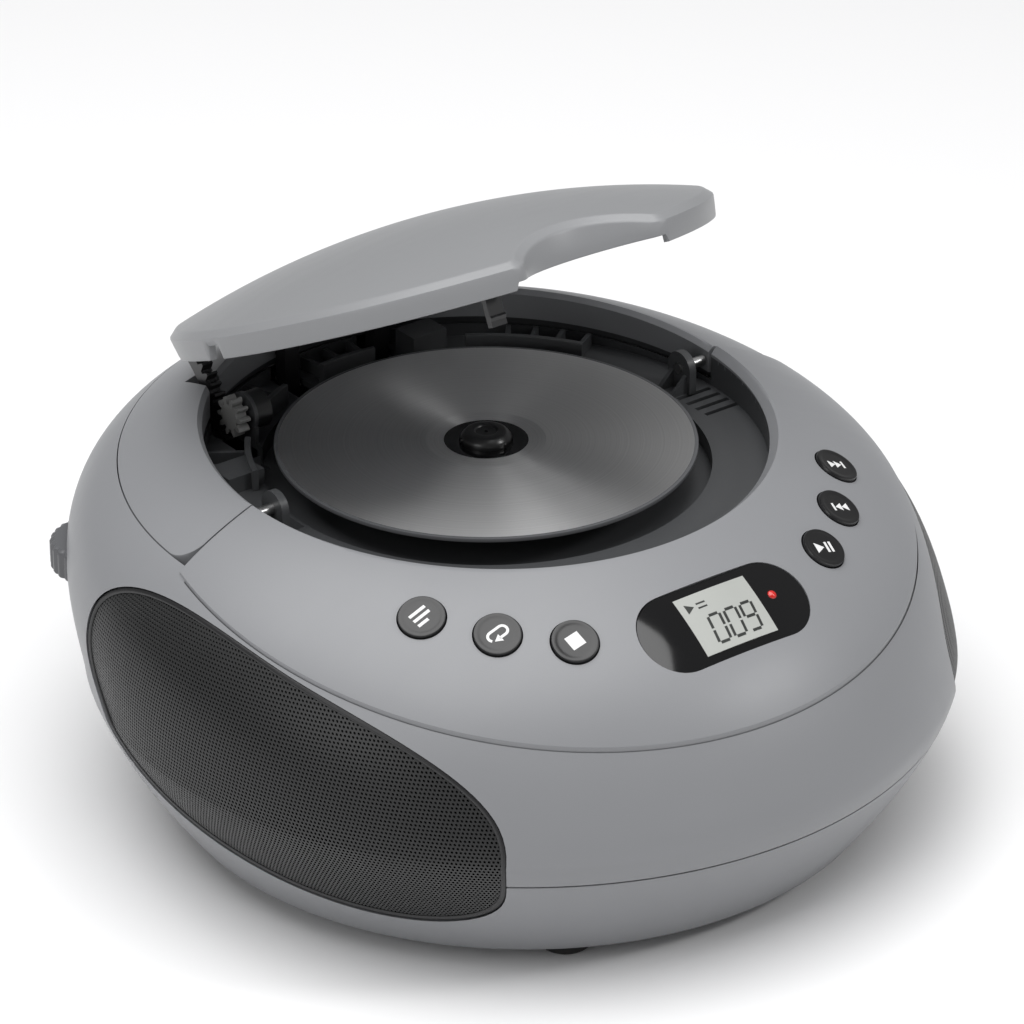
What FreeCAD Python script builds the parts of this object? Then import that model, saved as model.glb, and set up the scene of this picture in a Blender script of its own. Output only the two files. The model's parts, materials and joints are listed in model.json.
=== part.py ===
import FreeCAD, Part
import math
import os
import re
import Sketcher
from FreeCAD import Placement, Rotation, Vector

# Portable CD player with a round, pebble-shaped case: sprung top lid, disc drive, six
# keys, display, two side speakers, battery bay and a folded carry handle.
# Frame: millimetres, +Z up, +X to the player's right, the front faces -Y.
# Origin: on the resting plane, under the centre of the case's widest circle.
DIMS = {
    # outer shape
    "belly_radius": 124.7, "belly_height": 44, "crown_rise": 79, "crown_lean": 0.45,
    "bowl_drop": 103, "seam_height": 37, "seam_gap": 0.3, "base_height": 5, "wall": 3,
    # top openings
    "disc_y": 18, "disc_height": 100, "well_radius": 80, "panel_radius": 108.2,
    "panel_y": -3.5, "panel_proud": 0.7, "joint_line_y": 15.5,
    "handle_radius": 104, "handle_depth": 8.3, "tray_wall": 2, "trim_gap": 0.3, "rim_bevel": 3.2,
    "rim_height": 107.5, "rim_tilt": 3.3, "well_floor": 95.2, "well_wall": 1.8,
    "recess_radius": 64, "recess_floor": 90,
    # lid and its hinge
    "lid_radius": 79, "lid_skirt": 6.1, "lid_chamfer": 2.2, "lid_dome": 13.5,
    "lid_wall": 2.2, "lid_open": 28.2, "hinge_y": 110.3, "hinge_height": 86.1,
    "hinge_pin": 2, "arm_x": 16, "arm_width": 5, "notch_radius": 28, "notch_reach": 63,
    # lid damper gears
    "tooth_module": 1, "sector_teeth": 76, "pinion_teeth": 10, "sector_x": -50,
    "sector_width": 3.6, "mesh_angle": 157,
    # disc drive
    "disc_radius": 60, "disc_thick": 1.2, "disc_hole": 7.5, "hub_radius": 7.3,
    "platter_radius": 14.5, "spindle_radius": 1, "motor_radius": 12, "motor_height": 11,
    "deck_height": 84, "sled_x": 30,
    # keys and display
    "key_radius": 6.5, "key_height": 6, "key_gap": 0.35,
    "window_length": 56, "window_width": 24, "display_y": -89,
    # speakers and grilles
    "grille_angle": 17, "grille_height": 53.4, "grille_shift": -5.2, "grille_long": 74,
    "grille_tall": 30.8, "grille_tilt": 12.3, "grille_sunk": 1, "grille_thick": 1.2,
    "speaker_radius": 33, "speaker_height": 48,
    # base
    "bay_length": 124, "bay_width": 60, "bay_depth": 36, "bay_y": 12, "foot_radius": 8,
    # volume wheel and lid catch
    "wheel_radius": 15, "wheel_thick": 9, "wheel_height": 64, "wheel_x": -90, "wheel_y": 80,
    "catch_x": -30, "catch_y": -47.2,
}
CROWN_POWER, CROWN_ROUND = 3.5, 1.43
BOWL_POWER, BOWL_ROUND = 1.25, 1.82
OVAL_POWER = 2.5
AXES = {
    "x": Rotation(Vector(0, 1, 0), 90), "-x": Rotation(Vector(0, 1, 0), -90),
    "y": Rotation(Vector(1, 0, 0), -90), "-y": Rotation(Vector(1, 0, 0), 90),
    "z": Rotation(), "-z": Rotation(Vector(1, 0, 0), 180),
}

doc = FreeCAD.newDocument("CdPlayer")
sheet = doc.addObject("Spreadsheet::Sheet", "Dims")
for row, (alias, size) in enumerate(DIMS.items(), 1):
    sheet.set(f"A{row}", alias)
    sheet.set(f"B{row}", str(size))
    sheet.setAlias(f"B{row}", alias)
doc.recompute()
NODES = {}


def dim(alias):
    """A driving dimension, read from the sheet."""
    return float(sheet.get(alias))


def expression(text):
    """The text with each alias written as a reference to the sheet."""
    return re.sub(r"[a-z_]+", lambda m: "Dims." * (m.group() in DIMS) + m.group(), str(text))


def bind(item, **sizes):
    for name, text in sizes.items():
        item.setExpression(name, expression(text))
    return item


def place(item, at, turn=Rotation()):
    """Turn the item and bind its position to three expressions."""
    item.Placement = Placement(Vector(), turn)
    for letter, text in zip("xyz", at):
        item.setExpression(f".Placement.Base.{letter}", expression(text))
    return item


def cylinder(radius, height, at=(0, 0, 0), axis="z"):
    item = bind(doc.addObject("Part::Cylinder", "Cylinder"), Radius=radius, Height=height)
    return place(item, at, AXES[axis])


def cone(bottom, top, height, at=(0, 0, 0), axis="z"):
    item = bind(doc.addObject("Part::Cone", "Cone"), Radius1=bottom, Radius2=top, Height=height)
    return place(item, at, AXES[axis])


def sphere(radius, at):
    return place(bind(doc.addObject("Part::Sphere", "Sphere"), Radius=radius), at)


def box(size, at):
    """A box standing on the point at the middle of its base."""
    item = doc.addObject("Part::Box", "Box")
    bind(item, Length=size[0], Width=size[1], Height=size[2])
    return place(item, (f"{at[0]} - ({size[0]}) / 2", f"{at[1]} - ({size[1]}) / 2", at[2]))


def cut(base, *tools):
    """The base with each tool taken out of it in turn."""
    for tool in tools:
        item = doc.addObject("Part::Cut", "Cut")
        item.Base = base
        item.Tool = tool
        base = item
    return base


def fuse(*shapes):
    item = doc.addObject("Part::MultiFuse", "Fuse")
    item.Shapes = list(shapes)
    return item


def common(*shapes):
    item = doc.addObject("Part::MultiCommon", "Common")
    item.Shapes = list(shapes)
    return item


def together(*shapes):
    """Separate solids kept as one group."""
    item = doc.addObject("Part::Compound", "Group")
    item.Links = list(shapes)
    return item


def mirrored(source):
    item = doc.addObject("Part::Mirroring", "Mirror")
    item.Source = source
    item.Normal = Vector(1, 0, 0)
    return item


def copied(source, placement):
    """A second boolean result of the source, moved by a placement."""
    item = together(source)
    item.Placement = placement
    return item


def shaped(shape, name="Shape"):
    item = doc.addObject("Part::Feature", name)
    item.Shape = shape
    return item


def node(label, item):
    item.Label = label
    NODES[label] = item
    return item


def tube(outer, inner, height, at, axis="z"):
    return cut(cylinder(outer, height, at, axis), cylinder(inner, height, at, axis))


# Case surface: near-round sections whose centres lean back towards the crown.
BOWL_LEVELS = (5, 8, 14, 22, 32)
SECTION_START = Rotation(Vector(0, 0, 1), 70)
CROWN_SHARES = (0, 0.18, 0.36, 0.51, 0.64, 0.735, 0.825, 0.89, 0.93)


def bowl_section(level, inset):
    """The round section of the bowl at a height below the belly, drawn in by an inset."""
    rise = f"(belly_height - {level}) / (bowl_drop - ({inset}))"
    ring = doc.addObject("Part::Circle", "Section")
    bind(ring, Radius=f"(belly_radius - ({inset})) * pow(1 - pow({rise}; {BOWL_POWER}); 1 / {BOWL_ROUND})")
    return place(ring, ("0", "0", level), SECTION_START)


def crown_section(share, inset):
    """The round section at a share of the rise from the belly to the top of the crown."""
    rise = f"(crown_rise - ({inset})) * {share}"
    ring = doc.addObject("Part::Circle", "Section")
    bind(ring, Radius=f"(belly_radius - ({inset})) * {(1 - share ** CROWN_POWER) ** (1 / CROWN_ROUND)}")
    return place(ring, ("0", f"crown_lean * {rise}", f"belly_height + {rise}"), SECTION_START)


def pebble(inset=0.0):
    """The solid inside the case surface drawn in by an inset."""
    loft = doc.addObject("Part::Loft", "Pebble")
    bowl = [bowl_section(level, inset) for level in BOWL_LEVELS]
    loft.Sections = bowl + [crown_section(share, inset) for share in CROWN_SHARES]
    loft.Solid = True
    return loft


outer = pebble()
proud = pebble("-panel_proud")
inner = pebble("wall")
deep = pebble("handle_depth")
deeper = pebble("handle_depth + tray_wall")


def skin(solid, outside, inside):
    """The part of an upright solid that lies between two case surfaces."""
    return cut(common(solid, outside), inside)


ZONE_BASE = 86


def front_zone(radius):
    """The upright prism of the control panel."""
    keep = box(("belly_radius * 2", "belly_radius * 2", "140"), ("0", "joint_line_y - belly_radius", "40"))
    return common(cylinder(radius, "90", ("0", "panel_y", "50")), keep)


def back_zone(radius, start):
    """The upright prism of the handle band behind the joint line."""
    middle = ("0", f"joint_line_y + {start} + belly_radius", ZONE_BASE)
    keep = box(("belly_radius * 2", "belly_radius * 2", "90"), middle)
    return common(cylinder(radius, "90", ("0", "disc_y", "50")), keep)


def rim_bevel():
    """The cone that bevels the edge of the disc well, square to the tilted rim."""
    item = cone("well_radius - 1", "well_radius + 19", "20")
    tilt = Rotation(Vector(1, 0, 0), dim("rim_tilt"))
    return place(item, ("0", "disc_y", "rim_height - rim_bevel"), tilt)


def grille_out():
    """The level direction in which the left grille faces."""
    angle = math.radians(dim("grille_angle"))
    return Vector(-math.cos(angle), -math.sin(angle), 0)


def full_oval(reach, rise, count=90):
    """A closed curve about its own centre that is fuller than an ellipse."""
    points = []
    for index in range(count):
        angle = 2 * math.pi * index / count
        wide = abs(math.cos(angle) / reach) ** OVAL_POWER
        tall = abs(math.sin(angle) / rise) ** OVAL_POWER
        size = (wide + tall) ** (-1 / OVAL_POWER)
        points.append(Vector(size * math.cos(angle), size * math.sin(angle), 0))
    curve = Part.BSplineCurve()
    curve.interpolate(Points=points, PeriodicFlag=True)
    return Part.Wire([curve.toShape()])


def grille_prism(gap):
    """The tilted oval of a side grille, run through the left wall of the case."""
    oval = shaped(full_oval(dim("grille_long") - gap, dim("grille_tall") - gap), "Oval")
    out = grille_out()
    along = Vector(-out.y, out.x, 0)
    lean = Rotation(out, -dim("grille_tilt"))
    middle = out * 50 + along * dim("grille_shift") + Vector(0, 0, dim("grille_height"))
    oval.Placement = Placement(middle, lean * Rotation(along, Vector(0, 0, 1), out, "XZY"))
    prism = doc.addObject("Part::Extrusion", "GrillePrism")
    prism.Base = oval
    prism.DirMode = "Custom"
    prism.Dir = out
    prism.LengthFwd = 100
    prism.Solid = True
    return prism


def value(text):
    """The present value of an expression on the sheet."""
    return float(sheet.evalExpression(expression(text)))


def drawn(body, outline, plane):
    """A closed sketch of straight lines whose corners are bound to expressions."""
    sketch = body.newObject("Sketcher::SketchObject", "Outline")
    support = [item for item in body.Origin.OriginFeatures if item.Role == plane][0]
    sketch.AttachmentSupport = [(support, "")]
    sketch.MapMode = "FlatFace"
    corners = [Vector(value(x), value(y), 0) for x, y in outline]
    count = len(corners)
    for index in range(count):
        sketch.addGeometry(Part.LineSegment(corners[index], corners[(index + 1) % count]), False)
    for index in range(count):
        sketch.addConstraint(Sketcher.Constraint("Coincident", index, 2, (index + 1) % count, 1))
    for index, texts in enumerate(outline):
        for kind, text, size in zip(("DistanceX", "DistanceY"), texts, corners[index]):
            if str(text) == "0":
                line = -2 if kind == "DistanceX" else -1
                sketch.addConstraint(Sketcher.Constraint("PointOnObject", index, 1, line))
            else:
                number = sketch.addConstraint(Sketcher.Constraint(kind, -1, 1, index, 1, size))
                sketch.setExpression(f"Constraints[{number}]", expression(text))
    return sketch


def turned(outline, at=(0, 0, 0), turn=Rotation()):
    """A body turned about its own Z axis from (radius, height) corners."""
    body = doc.addObject("PartDesign::Body", "Turned")
    sketch = drawn(body, outline, "XZ_Plane")
    feature = body.newObject("PartDesign::Revolution", "Revolution")
    feature.Profile = sketch
    feature.ReferenceAxis = (sketch, ["V_Axis"])
    feature.Angle = 360
    return place(body, at, turn)


def plate(outline, depth, at=(0, 0, 0), turn=Rotation(), plane="XY_Plane"):
    """A body padded evenly about its sketch plane."""
    body = doc.addObject("PartDesign::Body", "Plate")
    feature = body.newObject("PartDesign::Pad", "Pad")
    feature.Profile = drawn(body, outline, plane)
    feature.Midplane = True
    feature.setExpression("Length", expression(depth))
    body.Tip = feature
    return place(body, at, turn)


def surface_frame(x, y, sink=0.0):
    """The placement on the panel's surface at (x, y), square to it and sunk below it."""
    line = Part.makeLine(Vector(x, y, 60), Vector(x, y, 130))
    top = max((v.Point for v in proud.Shape.common(line).Vertexes), key=lambda p: p.z)
    face = min(proud.Shape.Faces, key=lambda f: f.distToShape(Part.Vertex(top))[0])
    u, v = face.Surface.parameter(top)
    normal = face.normalAt(u, v)
    if normal.z < 0:
        normal = normal * -1
    return Placement(top - normal * sink, Rotation(Vector(0, 0, 1), normal))


def on_surface(item, x, y, sink=0.0):
    item.Placement = surface_frame(x, y, sink)
    return item


def lid_frame():
    """The resting place of the open lid's own frame."""
    closed = Placement(
        Vector(0, dim("disc_y"), dim("rim_height")), Rotation(Vector(1, 0, 0), dim("rim_tilt"))
    )
    hinge = Vector(0, dim("hinge_y"), dim("hinge_height"))
    swing = Placement(Vector(), Rotation(Vector(1, 0, 0), -dim("lid_open")), hinge)
    return swing * closed


def involute_gear(teeth, module, clearance=0.12):
    """A spur gear's outline as a face."""
    pitch, base = teeth * module / 2, teeth * module / 2 * math.cos(math.radians(20))
    root, tip = pitch - 1.2 * module, pitch + 0.95 * module
    spread = math.tan(math.radians(20)) - math.radians(20)
    half = math.pi / (2 * teeth) - clearance / (2 * pitch)

    def flank(radius):
        """Half the tooth's angle at a radius."""
        if radius <= base:
            return half + spread
        lean = math.acos(base / radius)
        return half + spread - (math.tan(lean) - lean)

    steps = [max(root, base) + (tip - max(root, base)) * k / 5 for k in range(6)]
    points = []
    for tooth in range(teeth):
        middle = 2 * math.pi * tooth / teeth
        side = [(root, flank(root))] + [(r, flank(r)) for r in steps if r > root]
        points += [(r, middle - a) for r, a in side] + [(r, middle + a) for r, a in reversed(side)]
    corners = [Vector(r * math.cos(a), r * math.sin(a), 0) for r, a in points]
    return Part.Face(Part.makePolygon(corners + corners[:1]))


doc.recompute()


# ---------------------------------------------------------------- casing
SIDES = (-1, 1)


def grille_prisms(gap):
    left = grille_prism(gap)
    return left, mirrored(left)


def lower_case():
    """The bowl under the seam, with its floor, battery bay opening and screw posts."""
    half = box(("300", "300", "seam_height - seam_gap / 2"), ("0", "0", "0"))
    bay = box(("bay_length", "bay_width", "60"), ("0", "bay_y", "0"))
    step_in = box(("bay_length + 6", "bay_width + 6", "2.2"), ("0", "bay_y", "base_height - 0.1"))
    holes = [cylinder(1.6, 60, (x, y, "0")) for x, y in SCREW_PLACES]
    sinks = [cylinder(3.4, "base_height + 4", (x, y, "0")) for x, y in SCREW_PLACES]
    hollow = common(inner, box(("300", "300", "100"), ("0", "0", "base_height + wall")))
    posts = [
        cut(cylinder(4, "seam_height - base_height - 10", (x, y, "base_height + 2")),
            cylinder(1.6, 60, (x, y, "0")), cylinder(3.4, "base_height + 4", (x, y, "0")))
        for x, y in SCREW_PLACES
    ]
    shell = cut(common(cut(half, bay, step_in, *holes, *sinks, *grille_prisms(0)), outer), hollow)
    return fuse(shell, *posts)


SCREW_PLACES = ((-66, -62), (66, -62), (-60, 76), (60, 76))


def upper_case():
    """The crown above the seam, open for the panel, the handle and the wheel."""
    half = box(("300", "300", "100"), ("0", "0", "seam_height + seam_gap / 2"))
    rear = [
        cylinder(3.9, 40, (JACK_X[0], 100, JACK_Z), "y"),
        cylinder(3.9, 40, (JACK_X[1], 100, JACK_Z), "y"),
        box((13, 40, 9), (INLET_X, 128, INLET_Z - 4.5)),
        box((18, 40, 6), (SWITCH_X, 128, INLET_Z - 3)),
    ]
    wheel_slot = cylinder("wheel_radius + 1", "wheel_thick + 1.4", wheel_place("wheel_height - 0.7"))
    openings = [
        front_zone("panel_radius + trim_gap"),
        back_zone("handle_radius + trim_gap", -2),
        cylinder("well_radius + 3", 100, ("0", "disc_y", "60")),
    ]
    return skin(cut(half, *openings, wheel_slot, *rear, *grille_prisms(0)), outer, inner)


def rack_notch(depth):
    """The narrow space that the lid's toothed sector swings through."""
    return box(("sector_width + 3.4", depth, 60), ("sector_x", 78, 60))


def arm_slots():
    """The two spaces that the lid's arms swing through."""
    return [box(("arm_width + 3", 38, 60), (f"{side} * arm_x", 95, 55)) for side in SIDES]


def handle_tray():
    """The channel under the folded handle."""
    middle = cylinder("well_radius + well_wall + 0.3", 100, ("0", "disc_y", "50"))
    return skin(cut(back_zone("handle_radius", -1.5), middle, rack_notch(40)), deep, deeper)


JACK_X, JACK_Z = (-44, -31), 62
INLET_X, INLET_Z = 42, 56
SWITCH_X = 8


def wheel_place(level):
    """The volume wheel's centre at a level, just inside the left rear of the case."""
    return ("wheel_x", "wheel_y", level)


def key_places():
    """Name, x and y of each key, in mirrored pairs along the panel."""
    names = (("program_key", "next_key"), ("repeat_key", "back_key"), ("stop_key", "play_pause_key"))
    spots = ((72.5, -49.2), (59.5, -65.5), (43.3, -78.2))
    for pair, (x, y) in zip(names, spots):
        for name, side in zip(pair, SIDES):
            yield name, side * x, y


def pill(length, width, height):
    """A round-ended block about its own centre."""
    across = f"({width}) / 2"
    reach = f"({length}) / 2 - ({width}) / 2"
    middle = box((f"({length}) - ({width})", width, height), ("0", "0", f"-({height}) / 2"))
    ends = [cylinder(across, height, (f"{side} * ({reach})", "0", f"-({height}) / 2")) for side in SIDES]
    return fuse(middle, *ends)


def control_panel():
    """The front cover with the well's front rim, the key holes and the window."""
    key_holes = [
        on_surface(together(cylinder("key_radius + key_gap", 30)), x, y, 16) for name, x, y in key_places()
    ]
    window = on_surface(together(pill("window_length", "window_width", 30)), 0, dim("display_y"))
    well = cylinder("well_radius", 100, ("0", "disc_y", "50"))
    return skin(cut(front_zone("panel_radius"), well, rim_bevel(), window, *key_holes), proud, inner)


HANDLE_ROUND = 7


def carry_handle():
    """The folded handle: a half ring that closes the rim behind the well."""
    zone = back_zone("handle_radius", "trim_gap + 1")
    doc.recompute()
    rounded = doc.addObject("Part::Fillet", "RoundedEnds")
    rounded.Base = zone
    end_line = dim("joint_line_y") + 5
    ends = [
        (index + 1, HANDLE_ROUND, HANDLE_ROUND)
        for index, edge in enumerate(zone.Shape.Edges)
        if abs(edge.tangentAt(edge.FirstParameter).z) > 0.99 and edge.BoundBox.YMax < end_line
    ]
    rounded.Edges = ends
    well = cylinder("well_radius", 100, ("0", "disc_y", "50"))
    return skin(cut(rounded, well, rim_bevel(), rack_notch(24)), outer, deep)


def well_wall():
    """The well's upright wall, in a front half and a lower back half."""
    ring = tube("well_radius + well_wall", "well_radius", 50, ("0", "disc_y", "well_floor + 0.05"))
    front = box(("300", "200", "80"), ("0", "joint_line_y - 100", "60"))
    back = box(("300", "200", "80"), ("0", "joint_line_y + 100.05", "60"))
    back_ring = cut(common(ring, back), *arm_slots(), rack_notch(40))
    return together(common(common(ring, front), inner), common(back_ring, deeper))


def disc_well():
    """The floor of the well: a ledge round the deeper recess under the disc."""
    ledge = tube("well_radius + well_wall", "recess_radius", 2, ("0", "disc_y", "well_floor - 2"))
    drop = tube("recess_radius + 1.8", "recess_radius", "well_floor - recess_floor + 2",
                ("0", "disc_y", "recess_floor - 2"))
    floor = cylinder("recess_radius + 1.8", 2, ("0", "disc_y", "recess_floor - 2"))
    blocks = [box((20, 9, 8.8), (22, 84, "well_floor - 1")), box((12, 10, 6), (-65, 48, "well_floor - 1"))]
    openings = [
        cylinder("platter_radius + 2.5", 10, ("0", "disc_y", "recess_floor - 5")),
        box((40, 17, 10), ("38", "disc_y", "recess_floor - 5")),
        rack_notch(40),
        box((7, 5, 10), ("catch_x", "catch_y", "well_floor - 5")),
    ]
    openings += arm_slots()
    openings += [box((12, 1.6, 10), (72.5, 14 - 4.2 * index, "well_floor - 5")) for index in range(4)]
    return cut(fuse(ledge, drop, floor, *blocks), *openings)


def arch_bracket(height, ribs):
    """An arch-topped ear standing on the ledge, with gusset ribs on its inner side."""
    ear = fuse(
        box((2.4, 10, height), ("0", "0", "0")),
        cylinder(5, 2.4, ("-1.2", "0", height), "x"),
    )
    gussets = [
        plate((("-1", "0"), ("-7", "0"), ("-1", f"({height}) - 1")), 1.4, (0, offset, 0), plane="XZ_Plane")
        for offset in ribs
    ]
    return fuse(ear, *gussets)


def handle_brackets():
    """The two ears inside the well that carry the handle's pivot pins."""
    right = arch_bracket(6.8, (-3, 3))
    bored = cut(right, cylinder(1.6, 10, ("-5", "0", 6.8), "x"))
    pair = [together(bored), together(mirrored(bored))]
    place(pair[0], ("well_radius - 8", "disc_y + 1", "well_floor + 0.02"))
    place(pair[1], ("8 - well_radius", "disc_y + 1", "well_floor + 0.02"))
    return together(*pair)


# ---------------------------------------------------------------- lid and hinge
HINGE = ("hinge_y", "hinge_height")
IN_YZ = Rotation(Vector(0, 1, 0), Vector(0, 0, 1), Vector(1, 0, 0), "XYZ")


def lid_dome(radius, height, level):
    """A cylinder in the lid's own frame with the lid's domed top, the wall's depth lower."""
    drop = f"lid_dome - ({level})"
    ball = "((lid_radius * lid_radius - 4) / (2 * lid_dome) + lid_dome / 2)"
    block = cylinder(radius, height, ("0", "0", f"-({height}) + 20"))
    return common(block, sphere(f"{ball} - ({level})", ("0", "0", f"lid_dome - {ball}")))


def in_lid(item):
    return copied(item, lid_frame())


def lid_cover():
    """The domed lid with its skirt, finger notch and the relief that clears the rear rim."""
    edge = turned((
        ("0", "-lid_skirt - 0.9"), ("lid_radius - 0.8", "-lid_skirt - 0.9"), ("lid_radius", "-0.9"),
        ("lid_radius - lid_chamfer", "lid_chamfer - 1"), ("lid_radius - lid_chamfer", "lid_dome + 1"),
        ("0", "lid_dome + 1"),
    ))
    dome = common(edge, lid_dome("lid_radius + 1", 40, 0))
    bite = ("0", "-notch_reach - notch_radius", "-30")
    hollow = cut(lid_dome("lid_radius - 3", 40, "lid_wall"), cylinder("notch_radius + lid_wall", 60, bite))
    notch = cylinder("notch_radius", 60, bite)
    relief = plate((("30", "-8"), ("90", "-8"), ("90", "-1.5"), ("50", "-1.5")), 200, plane="YZ_Plane")
    pin_notch = box(("3 * lid_radius", 6, 6), (0, 0.7, -9))
    return in_lid(cut(dome, hollow, notch, relief, pin_notch))


def lid_hinge_arms():
    """Two gooseneck arms from the lid's underside down and back to the hinge pin."""
    outline = (
        (90, 135), (90, 88), (93, 84), (106, 83), ("hinge_y", "hinge_height - 4.5"),
        ("hinge_y", "hinge_height + 4.5"), (97, 89.5), (94.8, 91.5), (94.8, 135),
    )
    arms = []
    for side in SIDES:
        neck = plate(outline, "arm_width", (f"{side} * arm_x", 0, 0), plane="YZ_Plane")
        eye = cylinder(4.5, "arm_width", (f"{side} * arm_x - arm_width / 2", *HINGE), "x")
        pin = cylinder("hinge_pin + 0.05", 20, (f"{side} * arm_x - 10", *HINGE), "x")
        arms.append(cut(fuse(neck, eye), pin))
    return common(together(*arms), in_lid(lid_dome("lid_radius + 40", 240, "lid_wall")))


def gear(teeth, width, turn):
    """A spur gear about the X axis with a tooth at the given angle from +Y towards +Z."""
    outline = shaped(involute_gear(teeth, dim("tooth_module")), "GearOutline")
    outline.Placement = Placement(Vector(), Rotation(Vector(0, 0, 1), turn))
    blank = doc.addObject("Part::Extrusion", "Gear")
    blank.Base = outline
    blank.DirMode = "Custom"
    blank.Dir = Vector(0, 0, 1)
    blank.LengthFwd = width
    blank.Solid = True
    return blank


def lid_sector():
    """The toothed sector that drives the damper, hung from the lid's underside."""
    at = ("sector_x - sector_width / 2", *HINGE)
    toothed = gear(int(dim("sector_teeth")), dim("sector_width"), dim("mesh_angle"))
    wheel = place(together(toothed), at, IN_YZ)
    wedge = plate((("0", "0"), (-35, 60.6), (-58, 13.4)), 20, ("sector_x", *HINGE), plane="YZ_Plane")
    rim = cut(common(wheel, wedge), cylinder("sector_teeth / 2 - 5", 30, ("sector_x - 15", *HINGE), "x"))
    outer_edge = ((92.8, 114), (94.2, 121.5), (91.5, 127.5), (84, 132.5))
    inner_edge = ((84, 130.5), (89.5, 126), (91.2, 120.5), (89.8, 114))
    web = plate(outer_edge + inner_edge, "sector_width", ("sector_x", 0, 0), plane="YZ_Plane")
    return cut(
        common(fuse(rim, web), in_lid(lid_dome("lid_radius + 2", 200, "lid_wall"))),
        in_lid(tube("lid_radius + 2", "lid_radius - 3.1", 14, ("0", "0", "-8"))),
    )


def lid_catch():
    """The tongue under the lid that drops through the ledge's slot."""
    hook = plate(((0, -15), (0, -11), (-1.6, -12.4)), 5, plane="YZ_Plane")
    tongue = fuse(box((5, 2, 30), ("0", "0", "-15")), hook)
    place(tongue, ("catch_x", "-lid_radius + 13", "0"))
    return in_lid(common(tongue, lid_dome("lid_radius - 3", 60, "lid_wall")))


def hinge_bosses():
    """Two posts on the inner frame that hold the ends of the hinge pin."""
    posts = []
    for side in SIDES:
        x = f"{side} * (arm_x + 7)"
        post = fuse(
            box((4, 7.2, "hinge_height - 56.02"), (x, "hinge_y", 56.02)),
            cylinder(3.6, 4, (f"{x} - 2", *HINGE), "x"),
        )
        posts.append(cut(post, cylinder("hinge_pin + 0.01", 20, (f"{x} - 10", *HINGE), "x")))
    return together(*posts)


def pinion_place(x):
    reach = "(sector_teeth + pinion_teeth) * tooth_module / 2"
    return (x, f"hinge_y + {reach} * cos(mesh_angle * 1deg)", f"hinge_height + {reach} * sin(mesh_angle * 1deg)")


def damper_gear():
    """The pinion and its shaft."""
    teeth = int(dim("pinion_teeth"))
    turn = dim("mesh_angle") + 180 + 180 / teeth
    at = pinion_place("sector_x - sector_width / 2")
    wheel = place(together(gear(teeth, dim("sector_width"), turn)), at, IN_YZ)
    return fuse(wheel, cylinder(1, 9, at, "x"))


def damper_body():
    """The round grease-filled body of the damper, with its shaft bore."""
    can = cylinder(5.6, 5, pinion_place("sector_x + 4.5"), "x")
    return cut(can, cylinder(1.05, 4, pinion_place("sector_x + 4"), "x"))


def damper_bracket():
    """The arch-topped plate on the ledge that carries the damper."""
    at = pinion_place("sector_x + 3.2")
    ear = fuse(box((1.2, 12, 5), ("sector_x + 3.8", at[1], "well_floor + 0.02")), cylinder(6, 1.2, at, "x"))
    below = box((10, 30, 20), ("sector_x + 4", at[1], "well_floor - 19.98"))
    return cut(ear, cylinder(1.05, 6, pinion_place("sector_x + 1"), "x"), below)


# ---------------------------------------------------------------- disc drive
def on_disc_axis(level):
    return ("0", "disc_y", level)


def spindle_hub():
    """The platter, the centring hub and the motor's shaft."""
    return fuse(
        cylinder("platter_radius", 2.4, on_disc_axis("disc_height - 2.4")),
        cone("hub_radius", "hub_radius - 1.8", 4.2, on_disc_axis("disc_height")),
        cylinder("spindle_radius", "disc_height - deck_height - 1", on_disc_axis("deck_height + 0.3")),
    )


def optical_sled():
    """The laser sled: a block on two rails with the lens turret on top."""
    block = box((20, 22, 3), ("sled_x", "disc_y", "deck_height + 0.6"))
    turret = cylinder(5, "disc_height - deck_height - 5", ("sled_x", "disc_y", "deck_height + 3"))
    lens = sphere(2.6, ("sled_x", "disc_y", "disc_height - 3.4"))
    bores = [cylinder(1.06, 60, (0, f"disc_y + {side} * 8", "deck_height + 2.1"), "x") for side in SIDES]
    return cut(fuse(block, turret, lens), *bores)


def sled_rails():
    rails = []
    for side in SIDES:
        at = (9, f"disc_y + {side} * 8", "deck_height + 2.1")
        ends = [box((3, 4, 3.2), (x, at[1], "deck_height + 0.02")) for x in (9, 70)]
        rails.append(fuse(cylinder(1, 61, at, "x"), *ends))
    return together(*rails)


def mechanism_deck():
    """The sheet that carries the motor and the rails under the well."""
    deck = box((112, 60, 2), (18, "disc_y", "deck_height - 2"))
    return cut(deck, cylinder(3, 10, on_disc_axis("deck_height - 5")))


def deck_dampers():
    """Four rubber mounts between the deck and the well's floor."""
    height = "recess_floor - 2 - deck_height - 0.04"
    return together(*[
        cut(cylinder(4, height, (x, f"disc_y + {side} * 24", "deck_height + 0.02")),
            cylinder(1.5, 10, (x, f"disc_y + {side} * 24", "deck_height")))
        for x in (-30, 55) for side in SIDES
    ])


# ---------------------------------------------------------------- keys and display
def key(x, y):
    """A round key, standing a little above the panel and square to it."""
    return on_surface(together(cylinder("key_radius", "key_height")), x, y, dim("key_height") - 0.9)


def key_switches():
    """A small board with its push switch under every key."""
    boards = []
    for name, x, y in key_places():
        item = together(fuse(box((13, 13, 1.2), (0, 0, 0)), box((6, 6, 1.2), (0, 0, 1.2))))
        boards.append(on_surface(item, x, y, dim("key_height") + 2.7))
    return together(*boards)


def display_cut(width, height, x=0, y=0):
    """A block square to the panel at the display, as deep as the window needs."""
    item = together(box((width, height, 30), (x, y, -15)))
    return on_surface(item, 0, dim("display_y"))


LCD_WIDTH, LCD_HEIGHT, LED_X = 24.4, 18.4, 17


def led_pin(radius):
    return on_surface(together(cylinder(radius, 30, (LED_X, 1, -15))), 0, dim("display_y"))


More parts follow.
